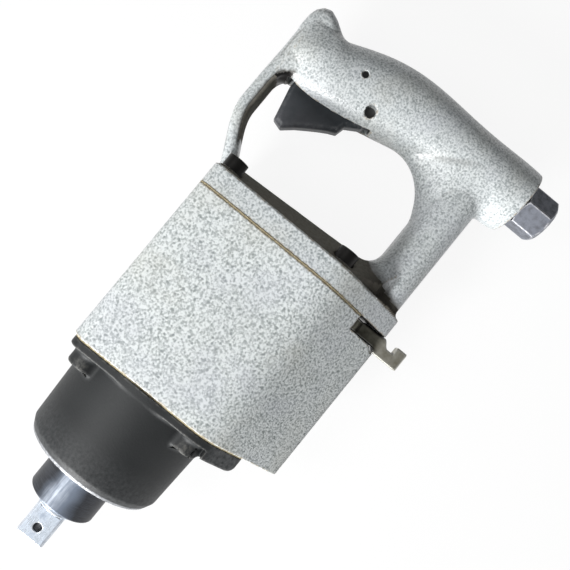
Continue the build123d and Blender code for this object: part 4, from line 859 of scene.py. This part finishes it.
trigger = skin("trigger_casting", trigger_field,
               stations(-343, -276, 0.8), stations(-55, 5, 0.8), stations(-7.5, 7.5, 0.7))
blue = Finish("trigger_enamel")
blue_cloud = blue.grain(90, 4.0, 0.6)
blue_peel = blue.grain(800, 2.0)
blue_edge = blue.carried("edge")
blue_chips = blue.grain(420, 3.0, 0.6)
blue_colour = blue.mix(blue.span(blue_cloud, 0.35, 0.7), tone(52, 57, 61), tone(40, 44, 48))
blue_worn = blue.math("MULTIPLY", blue.span(blue_edge, 0.2, 0.7),
                      blue.span(blue_chips, 0.42, 0.62), clamp=True)
blue_colour = blue.mix(blue.math("MULTIPLY", blue_worn, 0.55), blue_colour, tone(150, 152, 152))
trigger_x, _, _ = blue.parts(blue.place)
# Painted light: the crank is lighter towards its finger face, as if light falls on its rounded front.
front_light = blue.math("MULTIPLY", blue.span(trigger_x, -0.302, -0.284),
                   blue.span(blue_cloud, 0.3, 0.7, 0.3, 0.8))
blue_colour = blue.mix(front_light, blue_colour, tone(112, 113, 118))
blue_rough = blue.span(blue_peel, 0.3, 0.7, 0.4, 0.5)
stand_for(trigger, "trigger", "trigger_paint",
          blue.wear(blue_colour, blue_rough, blue_peel, 0.00006), "trigger")
coat(dark, "trigger_pin", "stop_pin")


# Throttle
# A steel poppet with a rubber face sits on a turned ring in the inlet bore. Its stem runs through a
# bronze guide to the arm of the trigger, and a conical wire spring closes it.

coat(ground, "throttle_seat", "throttle_valve")

spring_low, spring_high, spring_turns, wire_r = 90.9, 97.1, 3, 0.6
spring_r, spring_flare = 5.5, 2.5
spring_steps, wire_sides = 144, 12


def coil(t, around):
    """Point of the wire at share t of its length: on a cone, R = spring_r + spring_flare t, at turn n t
    and height low + (high - low) t, plus wire_r (cos around, sin around) outward and along the axis."""
    turn = 2 * np.pi * spring_turns * t
    r = spring_r + spring_flare * t + wire_r * np.cos(around)
    y = spring_low + (spring_high - spring_low) * t + wire_r * np.sin(around)
    return np.stack([grip_x + r * np.sin(turn), y, r * np.cos(turn)], -1)


wire_t, wire_angle = np.meshgrid(np.linspace(0, 1, spring_steps),
                                 np.arange(wire_sides) / wire_sides * 2 * np.pi, indexing="ij")
ring, side = np.meshgrid(np.arange(spring_steps - 1) * wire_sides, np.arange(wire_sides), indexing="ij")
next_ring, next_side = ring + wire_sides, (side + 1) % wire_sides
wire_quads = np.stack([ring + side, next_ring + side, next_ring + next_side, ring + next_side], -1)
across = np.arange(wire_sides // 2 - 1)
wire_end = np.stack([across, across + 1, wire_sides - 2 - across, wire_sides - 1 - across], -1)
wire_quads = np.concatenate([wire_quads.reshape(-1, 4), wire_end,
                             wire_end[:, ::-1] + (spring_steps - 1) * wire_sides])
wire = mesh_piece("throttle_spring_wire", coil(wire_t, wire_angle).reshape(-1, 3), wire_quads)
stand_for(wire, "housing", "spring_steel", spring, "throttle_spring")
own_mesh(wire)


# Air inlet
# A plated steel bushing screwed into the end of the grip over a rubber washer: a hexagon with turned
# corners, bored for a pipe thread, with a punched screen at the bottom of the bore.

hex_half, hex_start, hex_end = 13.5, 104.8, 125.0
outer_cone_r, inner_cone_r = 12.4, 13.2
spigot_r, spigot_end = 12.5, 97.8
thread_r, thread_start, screen_r, screen_start, passage_r = 9.2, 109.6, 8.55, 108.4, 7.7


def inlet_field(x, y, z):
    """Hexagon with flats across X, cut by a cone at each end, on a round spigot, bored through."""
    u, v = np.abs(x - grip_x), np.abs(z)
    r = np.hypot(u, v)
    flats = corner(u - hex_half, u * 0.5 + v * np.sqrt(0.75) - hex_half, 0.5, 0.5)
    outer_cone = (r - outer_cone_r) * 0.62 + (y - hex_end) * 0.78
    inner_cone = (r - inner_cone_r) * 0.5 + (hex_start - y) * 0.87
    head = np.maximum.reduce([flats, between(y, hex_start, hex_end), outer_cone, inner_cone])
    spigot = np.maximum(r - spigot_r, between(y, spigot_end, 106.0))
    hole = np.minimum.reduce([np.maximum(r - thread_r, thread_start - y),
                              np.maximum(r - screen_r, screen_start - y), r - passage_r])
    return corner(np.minimum(head, spigot), -hole, 0.0, 0.4)


inlet = skin("inlet_hexagon", inlet_field, stations(-355, -323, 0.7),
             stations(97, 127, 0.7, hex_end - 0.6, hex_start + 0.4, fine=0.4), stations(-16.5, 16.5, 0.7))
hexagon = Finish("inlet_steel", metallic=0.9)
scale_marks = hexagon.grain(300, 4.0, 0.65)
inlet_edge = hexagon.carried("edge")
inlet_colour = hexagon.mix(hexagon.span(scale_marks, 0.4, 0.7), tone(140, 144, 154), tone(104, 106, 112))
bright_edge = hexagon.math("MULTIPLY", hexagon.span(inlet_edge, 0.15, 0.6),
                           hexagon.span(scale_marks, 0.35, 0.65, 0.05, 0.9))
inlet_colour = hexagon.mix(bright_edge, inlet_colour, tone(220, 220, 224))
inlet_rough = hexagon.span(scale_marks, 0.3, 0.7, 0.4, 0.52)
stand_for(inlet, "housing", "inlet_steel",
          hexagon.wear(inlet_colour, inlet_rough, scale_marks, 0.00002), "inlet_bushing")
coat(ground, "inlet_screen")


# Floor, light and camera
# The wrench lies on a plain white table in a white room. A soft lamp stands close above it, two more
# stand further off on the drive's side, and weak light comes from all round.

floor_z, floor_reach, floor_shade = cad_low.z, 6.0, 0.6
floor_glow, floor_share, weak_light = 1.1, 0.82, 0.13
floor_mesh = bpy.data.meshes.new("table_top")
floor_corners = ((-1, -1), (1, -1), (1, 1), (-1, 1))
floor_mesh.from_pydata([(u * floor_reach, v * floor_reach, floor_z) for u, v in floor_corners],
                       [], [(0, 1, 2, 3)])
floor = bpy.data.objects.new("table_top", floor_mesh)
bpy.context.scene.collection.objects.link(floor)
table = Finish("table_white", specular=0.0)
table.shader.inputs["Base Color"].default_value = (floor_shade, floor_shade, floor_shade, 1)
table.shader.inputs["Roughness"].default_value = 1.0
path = table.node("ShaderNodeLightPath").outputs
seen = table.math("MAXIMUM", path["Is Camera Ray"],
                  table.math("MAXIMUM", path["Is Glossy Ray"], path["Is Transmission Ray"]))
glow = table.node("ShaderNodeEmission")
glow.inputs["Color"].default_value = (1, 1, 1, 1)
glow.inputs["Strength"].default_value = floor_glow
thin = table.node("ShaderNodeMixShader")
table.put(thin.inputs[0], table.math("MULTIPLY", seen, floor_share))
table.put(thin.inputs[1], table.shader.outputs[0])
table.put(thin.inputs[2], glow.outputs[0])
table.put(table.tree.nodes["Material Output"].inputs["Surface"], thin.outputs[0])
floor.data.materials.append(table.material)

world = bpy.data.worlds.new("white_room")
bpy.context.scene.world = world
world.use_nodes = True
sky = Nodes(world.node_tree)
sky_path = sky.node("ShaderNodeLightPath").outputs
sky_x, _, sky_z = sky.parts(sky.node("ShaderNodeTexCoord").outputs["Generated"])
shown = sky.math("MAXIMUM", sky_path["Is Camera Ray"], sky_path["Is Transmission Ray"])
walls = sky.math("MULTIPLY", sky.span(sky_z, 0.05, 0.45, 1.0, 0.3), sky.span(sky_x, -0.7, 0.1, 0.05, 1.0))
level = sky.blend(shown, sky.blend(sky_path["Is Glossy Ray"], weak_light, walls), 1.0)
background = sky.tree.nodes["Background"]
background.inputs["Color"].default_value = (1, 1, 1, 1)
sky.put(background.inputs["Strength"], level)


def soft_lamp(name, toward, aim, away, size, watts):
    """A round soft lamp that looks at aim from the given distance along toward."""
    light = bpy.data.lights.new(name, "AREA")
    light.shape = "DISK"
    light.size = size
    light.energy = watts
    lamp = bpy.data.objects.new(name, light)
    toward = Vector(toward).normalized()
    lamp.location = Vector(aim) + toward * away
    lamp.rotation_euler = toward.to_track_quat("Z", "Y").to_euler()
    lamp.visible_camera = False
    bpy.context.scene.collection.objects.link(lamp)


soft_lamp("key_lamp", (0.30, -0.46, 0.84), (-0.17, -0.02, 0.03), away=0.55, size=0.32, watts=1.38)
soft_lamp("side_lamp", (0.90, -0.14, 0.42), (-0.30, 0.0, 0.02), away=2.0, size=0.6, watts=39.0)
soft_lamp("low_lamp", (0.99, 0.02, 0.13), (-0.30, 0.0, 0.02), away=2.0, size=0.6, watts=18.0)

camera = bpy.data.cameras.new("camera")
camera.lens = 40.192
camera.sensor_width = 36.0
camera.clip_start = 0.01
camera_object = bpy.data.objects.new("camera", camera)
right = Vector((-0.63326, 0.77286, 0.04087))
up = Vector((-0.77300, -0.63421, 0.01587))
backward = Vector((0.03819, -0.02154, 0.99904))
stand = Matrix.Translation((-0.19031, 0.01423, 0.39593))
camera_object.matrix_world = stand @ Matrix((right, up, backward)).transposed().to_4x4()
bpy.context.scene.collection.objects.link(camera_object)
bpy.context.scene.camera = camera_object
bpy.context.scene.view_settings.view_transform = "Standard"
